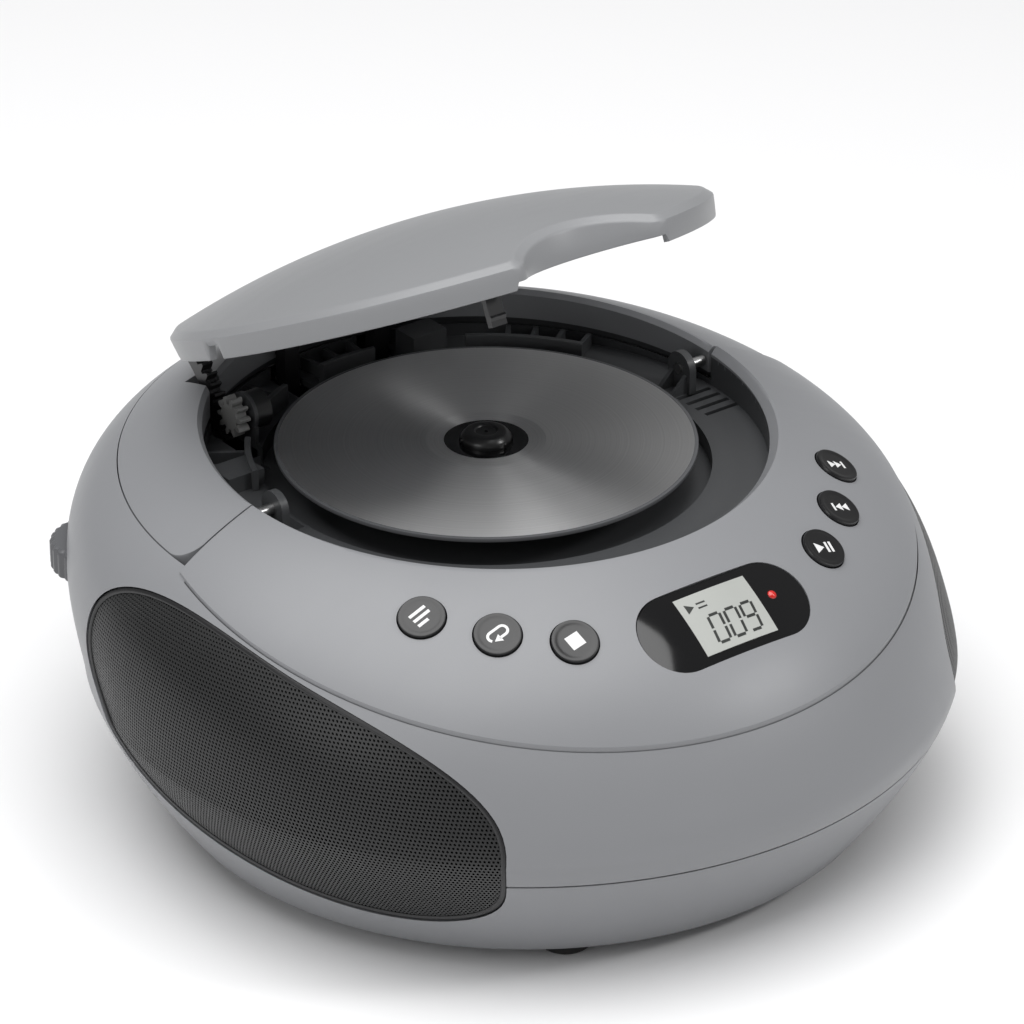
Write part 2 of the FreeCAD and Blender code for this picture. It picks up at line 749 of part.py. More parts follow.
def display_window():
    """The glossy pill-shaped window with openings for the screen and the lamp."""
    block = on_surface(together(pill("window_length - 0.5", "window_width - 0.5", 30)), 0, dim("display_y"))
    return skin(cut(block, display_cut(LCD_WIDTH + 0.1, LCD_HEIGHT + 0.1), led_pin(1.3)), outer, inner)


# ---------------------------------------------------------------- electronics
def inner_frame():
    """The shelf inside the case, with its legs, board posts and the upper screw posts."""
    shelf = cut(common(box((132, 184, 2), (0, 26, 54)), inner), box((18, 40, 4), (INLET_X, 118, 53)))
    legs = [cylinder(3.5, 46, (x, y, 8.01)) for x in (-45, 45) for y in (-26, 64)]
    pegs = [cylinder(3, 3, (x, y, 55)) for x in (-42, 42) for y in (14, 66)]
    posts = [
        cut(cylinder(4, 44, (x, y, 29.2)), cylinder(1.6, 12, (x, y, 28)))
        for x, y in SCREW_PLACES
    ]
    return fuse(shelf, *legs, *pegs, *posts)


def main_board():
    board = box((92, 60, 1.6), (0, 40, 58.02))
    return cut(board, *[cylinder(1.6, 10, (x, y, 54)) for x in (-42, 42) for y in (14, 66)])


def board_parts():
    """Chips, capacitors and a heat sink on the main board."""
    chips = [box((14, 14, 1.6), (x, 30, 59.64)) for x in (-24, 0, 24)]
    cans = [cylinder(5, 12, (x, 58, 59.64)) for x in (-32, -20, -8)]
    fins = [box((2, 12, 12), (14 + 5 * index, 56, 59.64)) for index in range(5)]
    sink = fuse(box((30, 3, 12), (24, 50, 59.64)), *fins)
    return together(*chips, *cans, sink)


def power_transformer():
    """Laminated core with its winding, on the floor in front of the battery bay."""
    return fuse(box((44, 22, 34), (0, -54, 8.02)), box((28, 36, 26), (0, -54, 12.02)))


def power_inlet():
    """Two-pin inlet: a shroud open to the rear, with its pins."""
    socket = box((9.4, 20, 5.6), (INLET_X, 117.4, INLET_Z - 2.8))
    shroud = cut(box((12.4, 24, 8.4), (INLET_X, 113, INLET_Z - 4.2)), socket)
    pins = [cylinder(0.9, 18, (INLET_X + side * 2.4, 106, INLET_Z), "y") for side in SIDES]
    return fuse(shroud, *pins)


def rear_wall(x):
    """How far back the outside of the case is at the jacks' height."""
    return 8.1 + math.sqrt(124 ** 2 - x ** 2)


def rear_jacks():
    """Two 3.5 mm sockets."""
    jacks = []
    for x in JACK_X:
        back = rear_wall(x)
        body = fuse(
            box((9, 12, 9), (x, back - 12.7, JACK_Z - 4.5)),
            cylinder(3.6, 7.2, (x, back - 7.2, JACK_Z), "y"),
        )
        jacks.append(cut(body, cylinder(1.8, 13, (x, back - 12, JACK_Z), "y")))
    return together(*jacks)


def mode_switch():
    """The rear slide switch's knob on its foot."""
    knob = box((6, 8, 4.6), (SWITCH_X - 4, 127, INLET_Z - 2.3))
    return fuse(knob, box((9, 2, 8), (SWITCH_X - 4, 122.5, INLET_Z - 4)))


def volume_wheel():
    """The knurled thumb wheel that stands out of the left rear of the case."""
    wheel = cylinder("wheel_radius", "wheel_thick", wheel_place("wheel_height"))
    grooves = []
    for index in range(36):
        angle = f"{10 * index} * 1deg"
        x = f"wheel_x + wheel_radius * cos({angle})"
        y = f"wheel_y + wheel_radius * sin({angle})"
        spot = (x, y, "wheel_height - 1")
        grooves.append(cylinder(0.6, "wheel_thick + 2", spot))
    return cut(wheel, together(*grooves))


def volume_potentiometer():
    post = cylinder(5, 6, wheel_place("wheel_height - 6.4"))
    return fuse(post, box((18, 18, 4), ("wheel_x + 9", "wheel_y - 9", "wheel_height - 6.4")))


# ---------------------------------------------------------------- speakers
def speaker_turn():
    out = grille_out()
    place_of_front = out * 103 + Vector(0, 0, dim("speaker_height"))
    return Placement(place_of_front, Rotation(Vector(0, 0, 1), out))


def speaker_frame():
    """Basket and magnet of the left speaker."""
    basket = turned((
        (27, "0"), ("speaker_radius", "0"), ("speaker_radius", -2), (29, -2.5), (16, -18), ("0", -18),
        ("0", -16), (14.5, -16),
    ))
    magnet, cap = cylinder(14, 10, (0, 0, -28)), cylinder(11, 1.5, (0, 0, -29.5))
    return copied(fuse(basket, magnet, cap), speaker_turn())


def speaker_cone():
    paper = turned((
        ("0", -9), (6.8, -9.8), (8, -12.2), (26, -1.2), (26.8, -0.3), (25.2, -0.3), (8.6, -10.8),
        (6.8, -8), ("0", -7.2),
    ))
    return copied(paper, speaker_turn())


# ---------------------------------------------------------------- base
FOOT_PLACES = ((-46, -78), (46, -78), (-42, 82), (42, 82))
LATCH_X = 0


def rubber_feet():
    return together(*[
        fuse(
            cylinder("foot_radius", "base_height - 1", (x, y, 1)),
            cone("foot_radius - 1", "foot_radius", 1, (x, y, 0)),
        )
        for x, y in FOOT_PLACES
    ])


def battery_door():
    door = box(("bay_length + 5.4", "bay_width + 5.4", 2), ("0", "bay_y", "base_height"))
    pocket = box((15, 11, 4), (LATCH_X, "bay_y - bay_width / 2 + 3", "base_height - 1"))
    rib = ("bay_length - 8", 0.8, 0.8)
    ribs = [box(rib, ("0", f"bay_y + {12 * side}", "base_height + 1.99")) for side in SIDES]
    return fuse(cut(door, pocket), *ribs)


def door_latch():
    """The sprung slider that locks the battery door."""
    plate_part = box((14, 7.4, 1.6), (LATCH_X, "bay_y - bay_width / 2 + 1.5", "base_height + 0.2"))
    grip = [
        box((10, 0.5, 0.5), (LATCH_X, f"bay_y - bay_width / 2 + {offset}", "base_height - 0.2"))
        for offset in (0, 1.5, 3)
    ]
    return fuse(plate_part, *grip)


def battery_tray():
    """The battery bay's walls and roof, open below."""
    outside = ("bay_length - 0.4", "bay_width - 0.4", "bay_depth - 2.2")
    inside = ("bay_length - 3.6", "bay_width - 3.6", "bay_depth - 3.8")
    block = box(outside, ("0", "bay_y", "base_height + 3.2"))
    hollow = box(inside, ("0", "bay_y", "base_height + 3.1"))
    return cut(block, hollow)


def battery_contacts():
    """Cone springs at one end of the bay and flat contacts at the other."""
    parts = []
    for side in SIDES:
        y = f"bay_y + {side} * 14"
        parts.append(cone(6, 3, 7, ("2.2 - bay_length / 2", y, 21), "x"))
        parts.append(box((0.6, 14, 14), ("bay_length / 2 - 2.6", y, 14)))
    return together(*parts)


def case_screws():
    screws = []
    for x, y in SCREW_PLACES:
        slots = [box((4.4, 0.9, 1), (x, y, 6.4)), box((0.9, 4.4, 1), (x, y, 6.4))]
        head = cut(cylinder(3.1, 2.4, (x, y, 6.5)), *slots)
        screws.append(fuse(head, cylinder(1.5, 26, (x, y, 8))))
    return together(*screws)


node("lower_case", lower_case())
node("upper_case", upper_case())
node("handle_tray", handle_tray())
node("control_panel", control_panel())
node("carry_handle", carry_handle())
node("well_wall", well_wall())
node("disc_well", disc_well())
node("handle_brackets", handle_brackets())
node("handle_pins", together(*[
    cylinder(1.55, 9.5, (f"{side} * 75 - 4.75", "disc_y + 1", "well_floor + 6.82"), "x") for side in SIDES
]))
node("lid_cover", lid_cover())
node("lid_hinge_arms", lid_hinge_arms())
node("lid_sector", lid_sector())
node("lid_catch", lid_catch())
node("hinge_pin", cylinder("hinge_pin", "2 * arm_x + 18", ("-arm_x - 9", *HINGE), "x"))
node("hinge_bosses", hinge_bosses())
node("lid_spring", tube(3.6, "hinge_pin + 0.2", 20, ("-10", *HINGE), "x"))
node("damper_gear", damper_gear())
node("damper_body", damper_body())
node("damper_bracket", damper_bracket())
node("compact_disc", tube("disc_radius", "disc_hole", "disc_thick", on_disc_axis("disc_height")))
node("spindle_hub", spindle_hub())
motor_base = on_disc_axis("deck_height - 2.02 - motor_height")
node("spindle_motor", cylinder("motor_radius", "motor_height", motor_base))
node("optical_sled", optical_sled())
node("sled_rails", sled_rails())
node("mechanism_deck", mechanism_deck())
node("deck_dampers", deck_dampers())
for name, x, y in key_places():
    node(name, key(x, y))
node("key_switches", key_switches())
node("display_window", display_window())
node("lcd_glass", skin(display_cut(LCD_WIDTH, LCD_HEIGHT), outer, inner))
node("status_led", skin(led_pin(1.2), outer, inner))
node("inner_frame", inner_frame())
node("main_board", main_board())
node("board_parts", board_parts())
node("power_transformer", power_transformer())
node("power_inlet", power_inlet())
node("rear_jacks", rear_jacks())
node("mode_switch", mode_switch())
node("volume_wheel", volume_wheel())
node("volume_potentiometer", volume_potentiometer())
face, back_face = pebble("grille_sunk"), pebble("grille_sunk + grille_thick")
grille_body = cut(grille_prism(0.4), front_zone("panel_radius + 1"))
left_grille = node("left_grille", skin(grille_body, face, back_face))
left_frame = node("left_speaker_frame", speaker_frame())
left_cone = node("left_speaker_cone", speaker_cone())
node("right_grille", mirrored(left_grille))
node("right_speaker_frame", mirrored(left_frame))
node("right_speaker_cone", mirrored(left_cone))
node("rubber_feet", rubber_feet())
node("battery_door", battery_door())
node("door_latch", door_latch())
node("battery_tray", battery_tray())
node("battery_contacts", battery_contacts())
node("case_screws", case_screws())

# ---------------------------------------------------------------- checks and export
doc.recompute()
for item in doc.Objects:
    if "Invalid" in item.State or "Error" in item.State:
        raise RuntimeError(f"{item.Name} ({item.Label}) did not recompute: {item.State}")
for label, item in NODES.items():
    if item.Shape.isNull() or not item.Shape.isValid() or not item.Shape.Solids:
        raise RuntimeError(f"{label} has no valid solid")

os.makedirs("parts", exist_ok=True)
for label, item in NODES.items():
    item.Shape.exportStep(f"parts/{label}.step")
print(f"{len(NODES)} nodes written")
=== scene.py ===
# %% [markdown]
# # A portable CD player, finished in Blender
# The player is a round grey pebble with an open lid, a disc in its well, six keys, a small
# screen and two oval speaker grilles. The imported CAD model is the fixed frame: it gives every
# place, and every piece made here rides on one of its bodies. Sizes inside the mesh code are
# millimetres, because that is how such a part is drawn, and become metres when a mesh is made.

import json
import math

import bmesh
import bpy
import numpy as np
from mathutils import Matrix, Vector


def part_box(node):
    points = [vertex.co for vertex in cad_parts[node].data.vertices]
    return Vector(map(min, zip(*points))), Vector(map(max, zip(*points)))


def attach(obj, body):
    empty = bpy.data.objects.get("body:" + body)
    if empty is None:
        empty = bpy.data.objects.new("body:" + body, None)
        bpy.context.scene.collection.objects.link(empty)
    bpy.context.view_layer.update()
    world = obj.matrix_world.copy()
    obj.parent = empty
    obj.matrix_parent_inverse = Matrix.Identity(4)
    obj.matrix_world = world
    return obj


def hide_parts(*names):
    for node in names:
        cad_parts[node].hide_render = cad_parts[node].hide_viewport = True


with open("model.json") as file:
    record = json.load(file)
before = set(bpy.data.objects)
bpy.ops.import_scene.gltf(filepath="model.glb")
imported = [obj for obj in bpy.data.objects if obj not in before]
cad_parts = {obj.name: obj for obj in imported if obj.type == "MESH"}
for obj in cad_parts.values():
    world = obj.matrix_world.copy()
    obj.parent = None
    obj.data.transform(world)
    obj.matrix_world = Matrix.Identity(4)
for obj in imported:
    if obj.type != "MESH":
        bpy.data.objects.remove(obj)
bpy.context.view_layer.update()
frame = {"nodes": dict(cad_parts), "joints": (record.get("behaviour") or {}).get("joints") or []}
MM = 0.001
scene = bpy.context.scene


# %% [markdown]
# ## Camera, floor and light
# The camera stands at the front left with a long lens, so that the ovals stay true. The floor
# is one large pale plane. The light is a white room with a large soft lamp overhead, a small
# one that draws the fans on the disc, and a fill from the left.

# %% Camera
LOOK_TURN, LOOK_DOWN, LOOK_AWAY = math.radians(-37.4), math.radians(27.75), 1500.0
LENS = 186.6
AIM_RIGHT, AIM_UP = 7.28, -19.55
disc_low, disc_high = (np.array(corner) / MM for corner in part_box("compact_disc"))
disc_middle = np.array([*(disc_low + disc_high)[:2] / 2, disc_low[2]])
back = np.array([math.sin(LOOK_TURN) * math.cos(LOOK_DOWN),
                 -math.cos(LOOK_TURN) * math.cos(LOOK_DOWN), math.sin(LOOK_DOWN)])
right = np.array([math.cos(LOOK_TURN), math.sin(LOOK_TURN), 0.0])
up = np.cross(back, right)
stand = disc_middle + AIM_RIGHT * right + AIM_UP * up + LOOK_AWAY * back

camera = bpy.data.objects.new("camera", bpy.data.cameras.new("camera"))
camera.data.lens, camera.data.sensor_width = LENS, 36.0
camera.data.clip_start, camera.data.clip_end = 0.05, 20.0
turn = Matrix([[right[k], up[k], back[k]] for k in range(3)]).to_4x4()
camera.matrix_world = Matrix.Translation(Vector(stand) * MM) @ turn
scene.collection.objects.link(camera)
scene.camera = camera
print("camera stands at", np.round(stand, 1), "mm")

# %% Lights and room
scene.view_settings.view_transform = "Standard"
scene.view_settings.look = "None"
ROOM_LEVEL = 0.27
room = bpy.data.worlds.new("room")
room.use_nodes = True
scene.world = room
room.node_tree.nodes["Background"].inputs["Color"].default_value = (1.0, 1.0, 1.0, 1.0)
room.node_tree.nodes["Background"].inputs["Strength"].default_value = ROOM_LEVEL


def add_light(name, place, aim, size, power):
    """A square soft light at a place in metres, aimed at a point."""
    lamp = bpy.data.lights.new(name, "AREA")
    lamp.size, lamp.energy = size, power
    item = bpy.data.objects.new(name, lamp)
    item.location = place
    item.rotation_euler = (Vector(aim) - Vector(place)).to_track_quat("-Z", "Y").to_euler()
    scene.collection.objects.link(item)


CENTRE = (0.0, 0.0, 0.07)
LIGHTS = (
    ("top light", (-0.25, 0.0, 1.5), (-0.25, 0.0, 0.0), 1.65, 31.0),
    ("disc light", (0.81, -0.93, 0.95), CENTRE, 0.25, 4.5),
    ("left light", (-1.3, -0.3, 0.7), CENTRE, 0.7, 3.0),
)
for light in LIGHTS:
    add_light(*light)
print(len(LIGHTS), "soft lights")


# %% [markdown]
# ## Shader maths
# A finish is a few lines of arithmetic on textures. One small class wraps a socket so that
# sums and products can be written as such, and another builds a material and adds any node
# by its type, its settings and what goes into its sockets.

# %% Sockets as values
class Value:
    """A number socket that can be added, multiplied and compared."""

    def __init__(self, paint, socket):
        self.paint, self.socket = paint, socket

    def math(self, operation, first, second):
        return self.paint.node("ShaderNodeMath", {"operation": operation}, {0: first, 1: second})

    def __add__(self, other):
        return self.math("ADD", self, other)

    __radd__ = __add__

    def __mul__(self, other):
        return self.math("MULTIPLY", self, other)

    __rmul__ = __mul__

    def __sub__(self, other):
        return self.math("SUBTRACT", self, other)

    def __rsub__(self, other):
        return self.math("SUBTRACT", other, self)

    def __gt__(self, other):
        return self.math("GREATER_THAN", self, other)


class Paint:
    """A material with its shader, and one method that adds any other node."""

    def __init__(self, name, colour, rough, metal=0.0, **constants):
        self.material = bpy.data.materials.new(name)
        self.material.use_nodes = True
        self.material.diffuse_color = (*colour, 1.0)
        self.nodes = self.material.node_tree.nodes
        self.shader = self.nodes["Principled BSDF"]
        self.set("Base Color", (*colour, 1.0))
        self.set("Roughness", rough)
        self.set("Metallic", metal)
        for socket, value in constants.items():
            self.set(socket.replace("_", " "), value)

    def set(self, socket, value, node=None):
        """Put a number, a colour or a link into a socket."""
        target = (node or self.shader).inputs[socket]
        if isinstance(value, Value):
            self.material.node_tree.links.new(value.socket, target)
        else:
            target.default_value = value

    def node(self, kind, settings=None, inputs=None, output=0):
        """A node of any type, given its settings first and then its sockets."""
        made = self.nodes.new(kind)
        for setting, value in (settings or {}).items():
            setattr(made, setting, value)
        for socket, value in (inputs or {}).items():
            self.set(socket, value, made)
        return Value(self, made.outputs[output])

    def where(self):
        return self.node("ShaderNodeTexCoord", output=3)

    def noise(self, scale, detail=3.0, rough=0.5, stretch=None):
        spot = self.where()
        if stretch:
            spot = self.node("ShaderNodeMapping", None, {"Vector": spot, "Scale": stretch})
        sizes = {"Vector": spot, "Scale": scale, "Detail": detail, "Roughness": rough}
        return self.node("ShaderNodeTexNoise", None, sizes)

    def blend(self, factor, first, second):
        """A colour between two colours."""
        ends = {0: factor, 6: first, 7: second}
        return self.node("ShaderNodeMix", {"data_type": "RGBA"}, ends, 2)

    def bump(self, height, strength, depth):
        """Surface relief of a depth in metres."""
        sizes = {"Height": height, "Strength": strength, "Distance": depth}
        self.set("Normal", self.node("ShaderNodeBump", None, sizes))


# %% [markdown]
# ## Finishes
# Almost everything is moulded plastic. The grey shell is satin with a very fine spark-eroded
# grain; the well is the same resin in a darker grey; keys and feet are black. The grilles are
# painted sheet. The disc is the one bright metal: its grooves stretch highlights into two
# fans, which is what an anisotropic shader does.

# %% Plastics
def shade(colour, factor):
    return tuple(part * factor for part in colour[:3]) + (1.0,)


def moulded(name, colour, rough=0.42, grain=0.25, mottle=0.05, **constants):
    """Moulded plastic: fine grain, faint cloudiness and slight wear in the gloss."""
    paint = Paint(name, colour, rough, **constants)
    cloud = paint.noise(22.0, 2.0)
    fine = paint.noise(2600.0, 2.0)
    smear = paint.noise(60.0, 3.0, stretch=(1.0, 2.5, 1.0))
    dark, light = shade(colour, 1 - mottle), shade(colour, 1 + mottle)
    paint.set("Base Color", paint.blend(cloud, dark, light))
    paint.set("Roughness", rough * (0.84 + 0.2 * smear + 0.12 * fine))
    paint.bump(fine, grain, 0.00006)
    return paint.material


CASE_GREY = (0.222, 0.226, 0.237)
case_paint = moulded("satin case grey", CASE_GREY, 0.40, 0.22, 0.02)
lid_paint = moulded("satin lid grey", (0.228, 0.232, 0.240), 0.38, 0.22, 0.02)
well_paint = moulded("well dark grey", (0.055, 0.057, 0.060), 0.42, 0.30, 0.08)
black_paint = moulded("satin black", (0.012, 0.012, 0.013), 0.36, 0.25, 0.15)
inner_paint = moulded("inner black", (0.02, 0.02, 0.021), 0.6, 0.3, 0.15)
natural_paint = moulded("natural nylon", (0.25, 0.25, 0.245), 0.45, 0.2, 0.05)
window_paint = moulded("gloss black window", (0.004, 0.004, 0.0045), 0.05, 0.01, 0.1)
key_paint = moulded("key black", (0.008, 0.008, 0.0085), 0.30, 0.12, 0.1)
ring_paint = moulded("key rim grey", (0.10, 0.102, 0.108), 0.35, 0.1, 0.04)
print("plastics mixed")


# %% Other finishes
def rubber():
    """Soft rubber: matt, with a pebbled skin and a little dust."""
    paint = Paint("foot rubber", (0.014, 0.014, 0.014), 0.8)
    pebbles = paint.node("ShaderNodeTexVoronoi", None, {"Vector": paint.where(), "Scale": 1400.0})
    dust = paint.noise(90.0)
    clean, dusty = (0.010, 0.010, 0.010, 1), (0.04, 0.039, 0.037, 1)
    paint.set("Base Color", paint.blend(dust * 0.5, clean, dusty))
    paint.bump(pebbles, 0.4, 0.0001)
    return paint.material


def brushed(name, colour, rough):
    """Rolled or brushed metal with fine lines one way."""
    paint = Paint(name, colour, rough, 1.0)
    streak = paint.noise(120.0, 4.0, 0.6, (1.0, 60.0, 60.0))
    paint.set("Roughness", rough + 0.25 * (streak - 0.5))
    paint.set("Base Color", paint.blend(streak, shade(colour, 0.85), shade(colour, 1.1)))
    paint.bump(streak, 0.1, 0.00005)
    return paint.material


def printed_board():
    """Green circuit board with faint copper tracks under the varnish."""
    paint = Paint("circuit board", (0.02, 0.11, 0.05), 0.35)
    sizes = {"Vector": paint.where(), "Scale": 260.0, "Distortion": 9.0, "Detail Scale": 2.0}
    tracks = paint.node("ShaderNodeTexWave", {"bands_direction": "X"}, sizes, 1)
    lacquer, copper = (0.012, 0.085, 0.035, 1), (0.10, 0.20, 0.06, 1)
    paint.set("Base Color", paint.blend((tracks > 0.72) * 0.5, lacquer, copper))
    return paint.material


def pressed_paper():
    paint = Paint("pressed paper", (0.03, 0.03, 0.03), 0.85)
    felt = paint.noise(900.0, 5.0, 0.7)
    paint.set("Base Color", paint.blend(felt, (0.018, 0.018, 0.018, 1), (0.05, 0.05, 0.05, 1)))
    paint.bump(felt, 0.5, 0.0002)
    return paint.material


def cloth():
    """The black scrim behind a grille: a plain weave of thin yarn."""
    paint = Paint("black scrim", (0.004, 0.004, 0.004), 0.9)
    sizes = {"Vector": paint.where(), "Scale": 900.0}
    weave = paint.node("ShaderNodeTexWave", {"bands_direction": "Z"}, sizes, 1)
    paint.set("Base Color", paint.blend(weave, (0.003, 0.003, 0.003, 1), (0.010, 0.010, 0.010, 1)))
    paint.bump(weave, 0.4, 0.0001)
    return paint.material


rubber_paint = rubber()
steel_paint = brushed("plain steel", (0.50, 0.50, 0.50), 0.32)
board_paint = printed_board()
paper_paint = pressed_paper()
cloth_paint = cloth()
grille_paint = moulded("grille sheet black", (0.013, 0.0133, 0.0137), 0.42, 0.15, 0.12)
print("rubber, steel, board, paper and grille sheet mixed")


# %% [markdown]
# The disc's label side is bare brushed metal. The brushing runs round the centre, so the
# anisotropic level and its quarter turn are plain numbers, and the default tangent, which
# circles the Z axis, does the rest. The rings are noise along the distance from the centre.

# %% Disc metal and screen inks
def disc_metal():
    brushing = {"Anisotropic": 0.85, "Anisotropic_Rotation": 0.25}
    paint = Paint("brushed disc silver", (0.42, 0.42, 0.42), 0.36, 1.0, **brushing)
    centre = tuple(-disc_middle * MM)
    moved = paint.node("ShaderNodeVectorMath", {"operation": "ADD"}, {0: paint.where(), 1: centre})
    reach = paint.node("ShaderNodeVectorMath", {"operation": "LENGTH"}, {0: moved}, 1)
    rings = paint.node("ShaderNodeTexNoise", {"noise_dimensions": "1D"},
                       {"W": reach, "Scale": 1800.0, "Detail": 4.0})
    paint.set("Roughness", 0.30 + 0.16 * rings)
    paint.set("Base Color", paint.blend(rings, (0.66, 0.66, 0.66, 1), (0.84, 0.84, 0.84, 1)))
    paint.bump(rings, 0.06, 0.00003)
    return paint.material


def screen_glass():
    """Unlit liquid crystal behind its cover: pale, a little green, with a soft gloss."""
    paint = Paint("screen panel", (0.40, 0.42, 0.39), 0.22)
    cloud = paint.noise(40.0, 1.0)
    fine = paint.noise(5200.0, 1.0)
    paint.set("Base Color", paint.blend(cloud, (0.345, 0.355, 0.335, 1), (0.43, 0.44, 0.42, 1)))
    paint.set("Roughness", 0.2 + 0.1 * fine)
    return paint.material


disc_paint = disc_metal()
white_ink = moulded("white print", (0.72, 0.72, 0.72), 0.5, 0.1, 0.03)
segment_ink = moulded("dark segments", (0.02, 0.022, 0.02), 0.35, 0.1, 0.03)
screen_paint = screen_glass()
lamp_paint = moulded("red lamp lens", (0.55, 0.012, 0.008), 0.12, 0.05, 0.1, Coat_Weight=0.5)
print("disc, inks and screen mixed")


# %% [markdown]
# ## The shape of the case
# The case is a stack of level circles. Below the widest one they shrink slowly, like a bowl,
# and above it they shrink and lean backwards, which tips the top towards the user. A skin at
# any depth is the same stack, a little smaller, so every cover below is a piece of it.

# %% Case surface
BELLY_RADIUS, BELLY_HEIGHT, CROWN_RISE, CROWN_LEAN, BOWL_DROP = 124.7, 44.0, 79.0, 0.45, 103.0
LEAN_BLEND = 8.0
CROWN_POWER, CROWN_ROUND, BOWL_POWER, BOWL_ROUND = 3.5, 1.43, 1.25, 1.82
BASE_HEIGHT, SEAM_LOW, SEAM_HIGH, WALL = 5.0, 36.85, 37.15, 3.0
DISC_Y, WELL_RADIUS = 18.0, 80.0
PANEL_Y, PANEL_RADIUS, PANEL_PROUD, JOINT_Y = -3.5, 108.2, 0.7, 15.5
HANDLE_RADIUS, HANDLE_DEPTH, GAP = 104.0, 8.3, 0.3
STEPS = 44


def shell_radius(height, inset=0.0):
    """Radius of the level circle at a height, on the skin that lies inset deep."""
    height = np.asarray(height, float)
    sink = np.clip((BELLY_HEIGHT - height) / (BOWL_DROP - inset), 0.0, 1.0)
    rise = np.clip((height - BELLY_HEIGHT) / (CROWN_RISE - inset), 0.0, 1.0)
    bowl = (1 - sink ** BOWL_POWER) ** (1 / BOWL_ROUND)
    crown = (1 - rise ** CROWN_POWER) ** (1 / CROWN_ROUND)
    return (BELLY_RADIUS - inset) * np.where(height < BELLY_HEIGHT, bowl, crown)


def shell_centre(height):
    """How far the level circle's centre lies back; the lean starts gently round the belly."""
    rise = np.asarray(height, float) - BELLY_HEIGHT
    gentle = np.clip(rise + LEAN_BLEND, 0.0, 2 * LEAN_BLEND) ** 2 / (4 * LEAN_BLEND)
    return CROWN_LEAN * np.where(rise > LEAN_BLEND, rise, gentle)


def shell_point(angle, height, inset=0.0):
    """The point on a level circle at a plan angle."""
    reach = shell_radius(height, inset)
    x, y = reach * np.cos(angle), shell_centre(height) + reach * np.sin(angle)
    return np.stack([x, y, np.broadcast_to(height, x.shape)], -1)


def last_inside(test, low, high):
    """The highest values that pass a test, found by halving the way between two bounds."""
    for _ in range(STEPS):
        middle = (low + high) / 2
        inside = test(middle)
        low, high = np.where(inside, middle, low), np.where(inside, high, middle)
    return low


def shell_top(x, y, inset=0.0):
    """Height of the crown over a point of the plan."""
    x, y = np.broadcast_arrays(np.asarray(x, float), np.asarray(y, float))
    low = np.full(x.shape, BELLY_HEIGHT)

    def under(height):
        return np.hypot(x, y - shell_centre(height)) < shell_radius(height, inset)

    return last_inside(under, low, low + CROWN_RISE - inset)


def shell_normal(x, y, inset=0.0, step=0.5):
    slope_x = (shell_top(x + step, y, inset) - shell_top(x - step, y, inset)) / (2 * step)
    slope_y = (shell_top(x, y + step, inset) - shell_top(x, y - step, inset)) / (2 * step)
    normal = np.array([-slope_x, -slope_y, 1.0])
    return normal / np.linalg.norm(normal)


RIM_HEIGHT, RIM_TILT = 104.3, math.tan(math.radians(3.3))


def rim_top(x, y, inset=0.0):
    """The crown, cut down by the 45 degree bevel round the well."""
    bevel = RIM_HEIGHT + np.hypot(x, y - DISC_Y) - (WELL_RADIUS - 1) + RIM_TILT * (y - DISC_Y)
    return np.minimum(shell_top(x, y, inset), bevel)


print("widest circle", BELLY_RADIUS * 2, "mm, top", round(float(shell_top(0, 30)), 1), "mm")


# %% [markdown]
# ## Making pieces
# A cover is a row of closed cross-sections joined to their neighbours. Corners of a section
# are rounded before it is used, so moulded edges catch the light. Openings are cut afterwards.

# %% Mesh tools
def make(name, points, faces, body, paint, slot, crease=32.0):
    """A mesh piece from points in millimetres, shaded smooth up to the crease angle."""
    mesh = bpy.data.meshes.new(name)
    mesh.from_pydata((np.asarray(points, float) * MM).tolist(), [], faces)
    mesh.validate()
    work = bmesh.new()
    work.from_mesh(mesh)
    bmesh.ops.recalc_face_normals(work, faces=work.faces)
    work.to_mesh(mesh)
    work.free()
    mesh.materials.append(paint)
    piece = bpy.data.objects.new(name, mesh)
    scene.collection.objects.link(piece)
    soften(piece, crease)
    if body:
        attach(piece, body)
    return piece


def soften(piece, crease=32.0):
    piece.data.shade_smooth()
    piece.data.set_sharp_from_angle(angle=math.radians(crease))


def tube_faces(count, size, closed=True):
    """Faces between loops that follow one another, and from the last to the first if closed."""
    faces = []
    for row in range(count if closed else count - 1):
        a, b = row * size, (row + 1) % count * size
        faces += [(a + k, a + (k + 1) % size, b + (k + 1) % size, b + k) for k in range(size)]
    return faces


def loft(sections, closed=False):
    """Points and faces of a skin over closed sections, capped unless it joins up."""
    sections = np.asarray(sections, float)
    count, size = sections.shape[:2]
    faces = tube_faces(count, size, closed)
    if not closed:
        faces += [tuple(range(size)), tuple(range(count * size - 1, (count - 1) * size - 1, -1))]
    return sections.reshape(-1, 3), faces


def turned(profile, steps=128, middle=(0.0, 0.0)):
    """A closed (radius, height) outline turned about a vertical axis."""
    reach, height = np.asarray(profile, float).T
    rings = []
    for angle in np.linspace(0, 2 * math.pi, steps, endpoint=False):
        x, y = middle[0] + reach * math.cos(angle), middle[1] + reach * math.sin(angle)
        rings.append(np.stack([x, y, height], -1))
    return loft(rings, closed=True)


SIDE_LIMIT = 0.45


def rounded(outline, sizes, parts=3):
    """A closed outline with its corners rounded: sizes maps a corner's number to a radius."""
    outline, done = np.asarray(outline, float), []
    for index, corner in enumerate(outline):
        size = sizes.get(index, 0.0)
        if not size:
            done.append(corner)
            continue
        start, end = (
            corner + way / np.linalg.norm(way) * min(size, np.linalg.norm(way) * SIDE_LIMIT)
            for way in (outline[index - 1] - corner, outline[(index + 1) % len(outline)] - corner)
        )
        for share in np.linspace(0, 1, parts):
            done.append((1 - share) ** 2 * start + 2 * share * (1 - share) * corner + share ** 2 * end)
    return np.array(done)


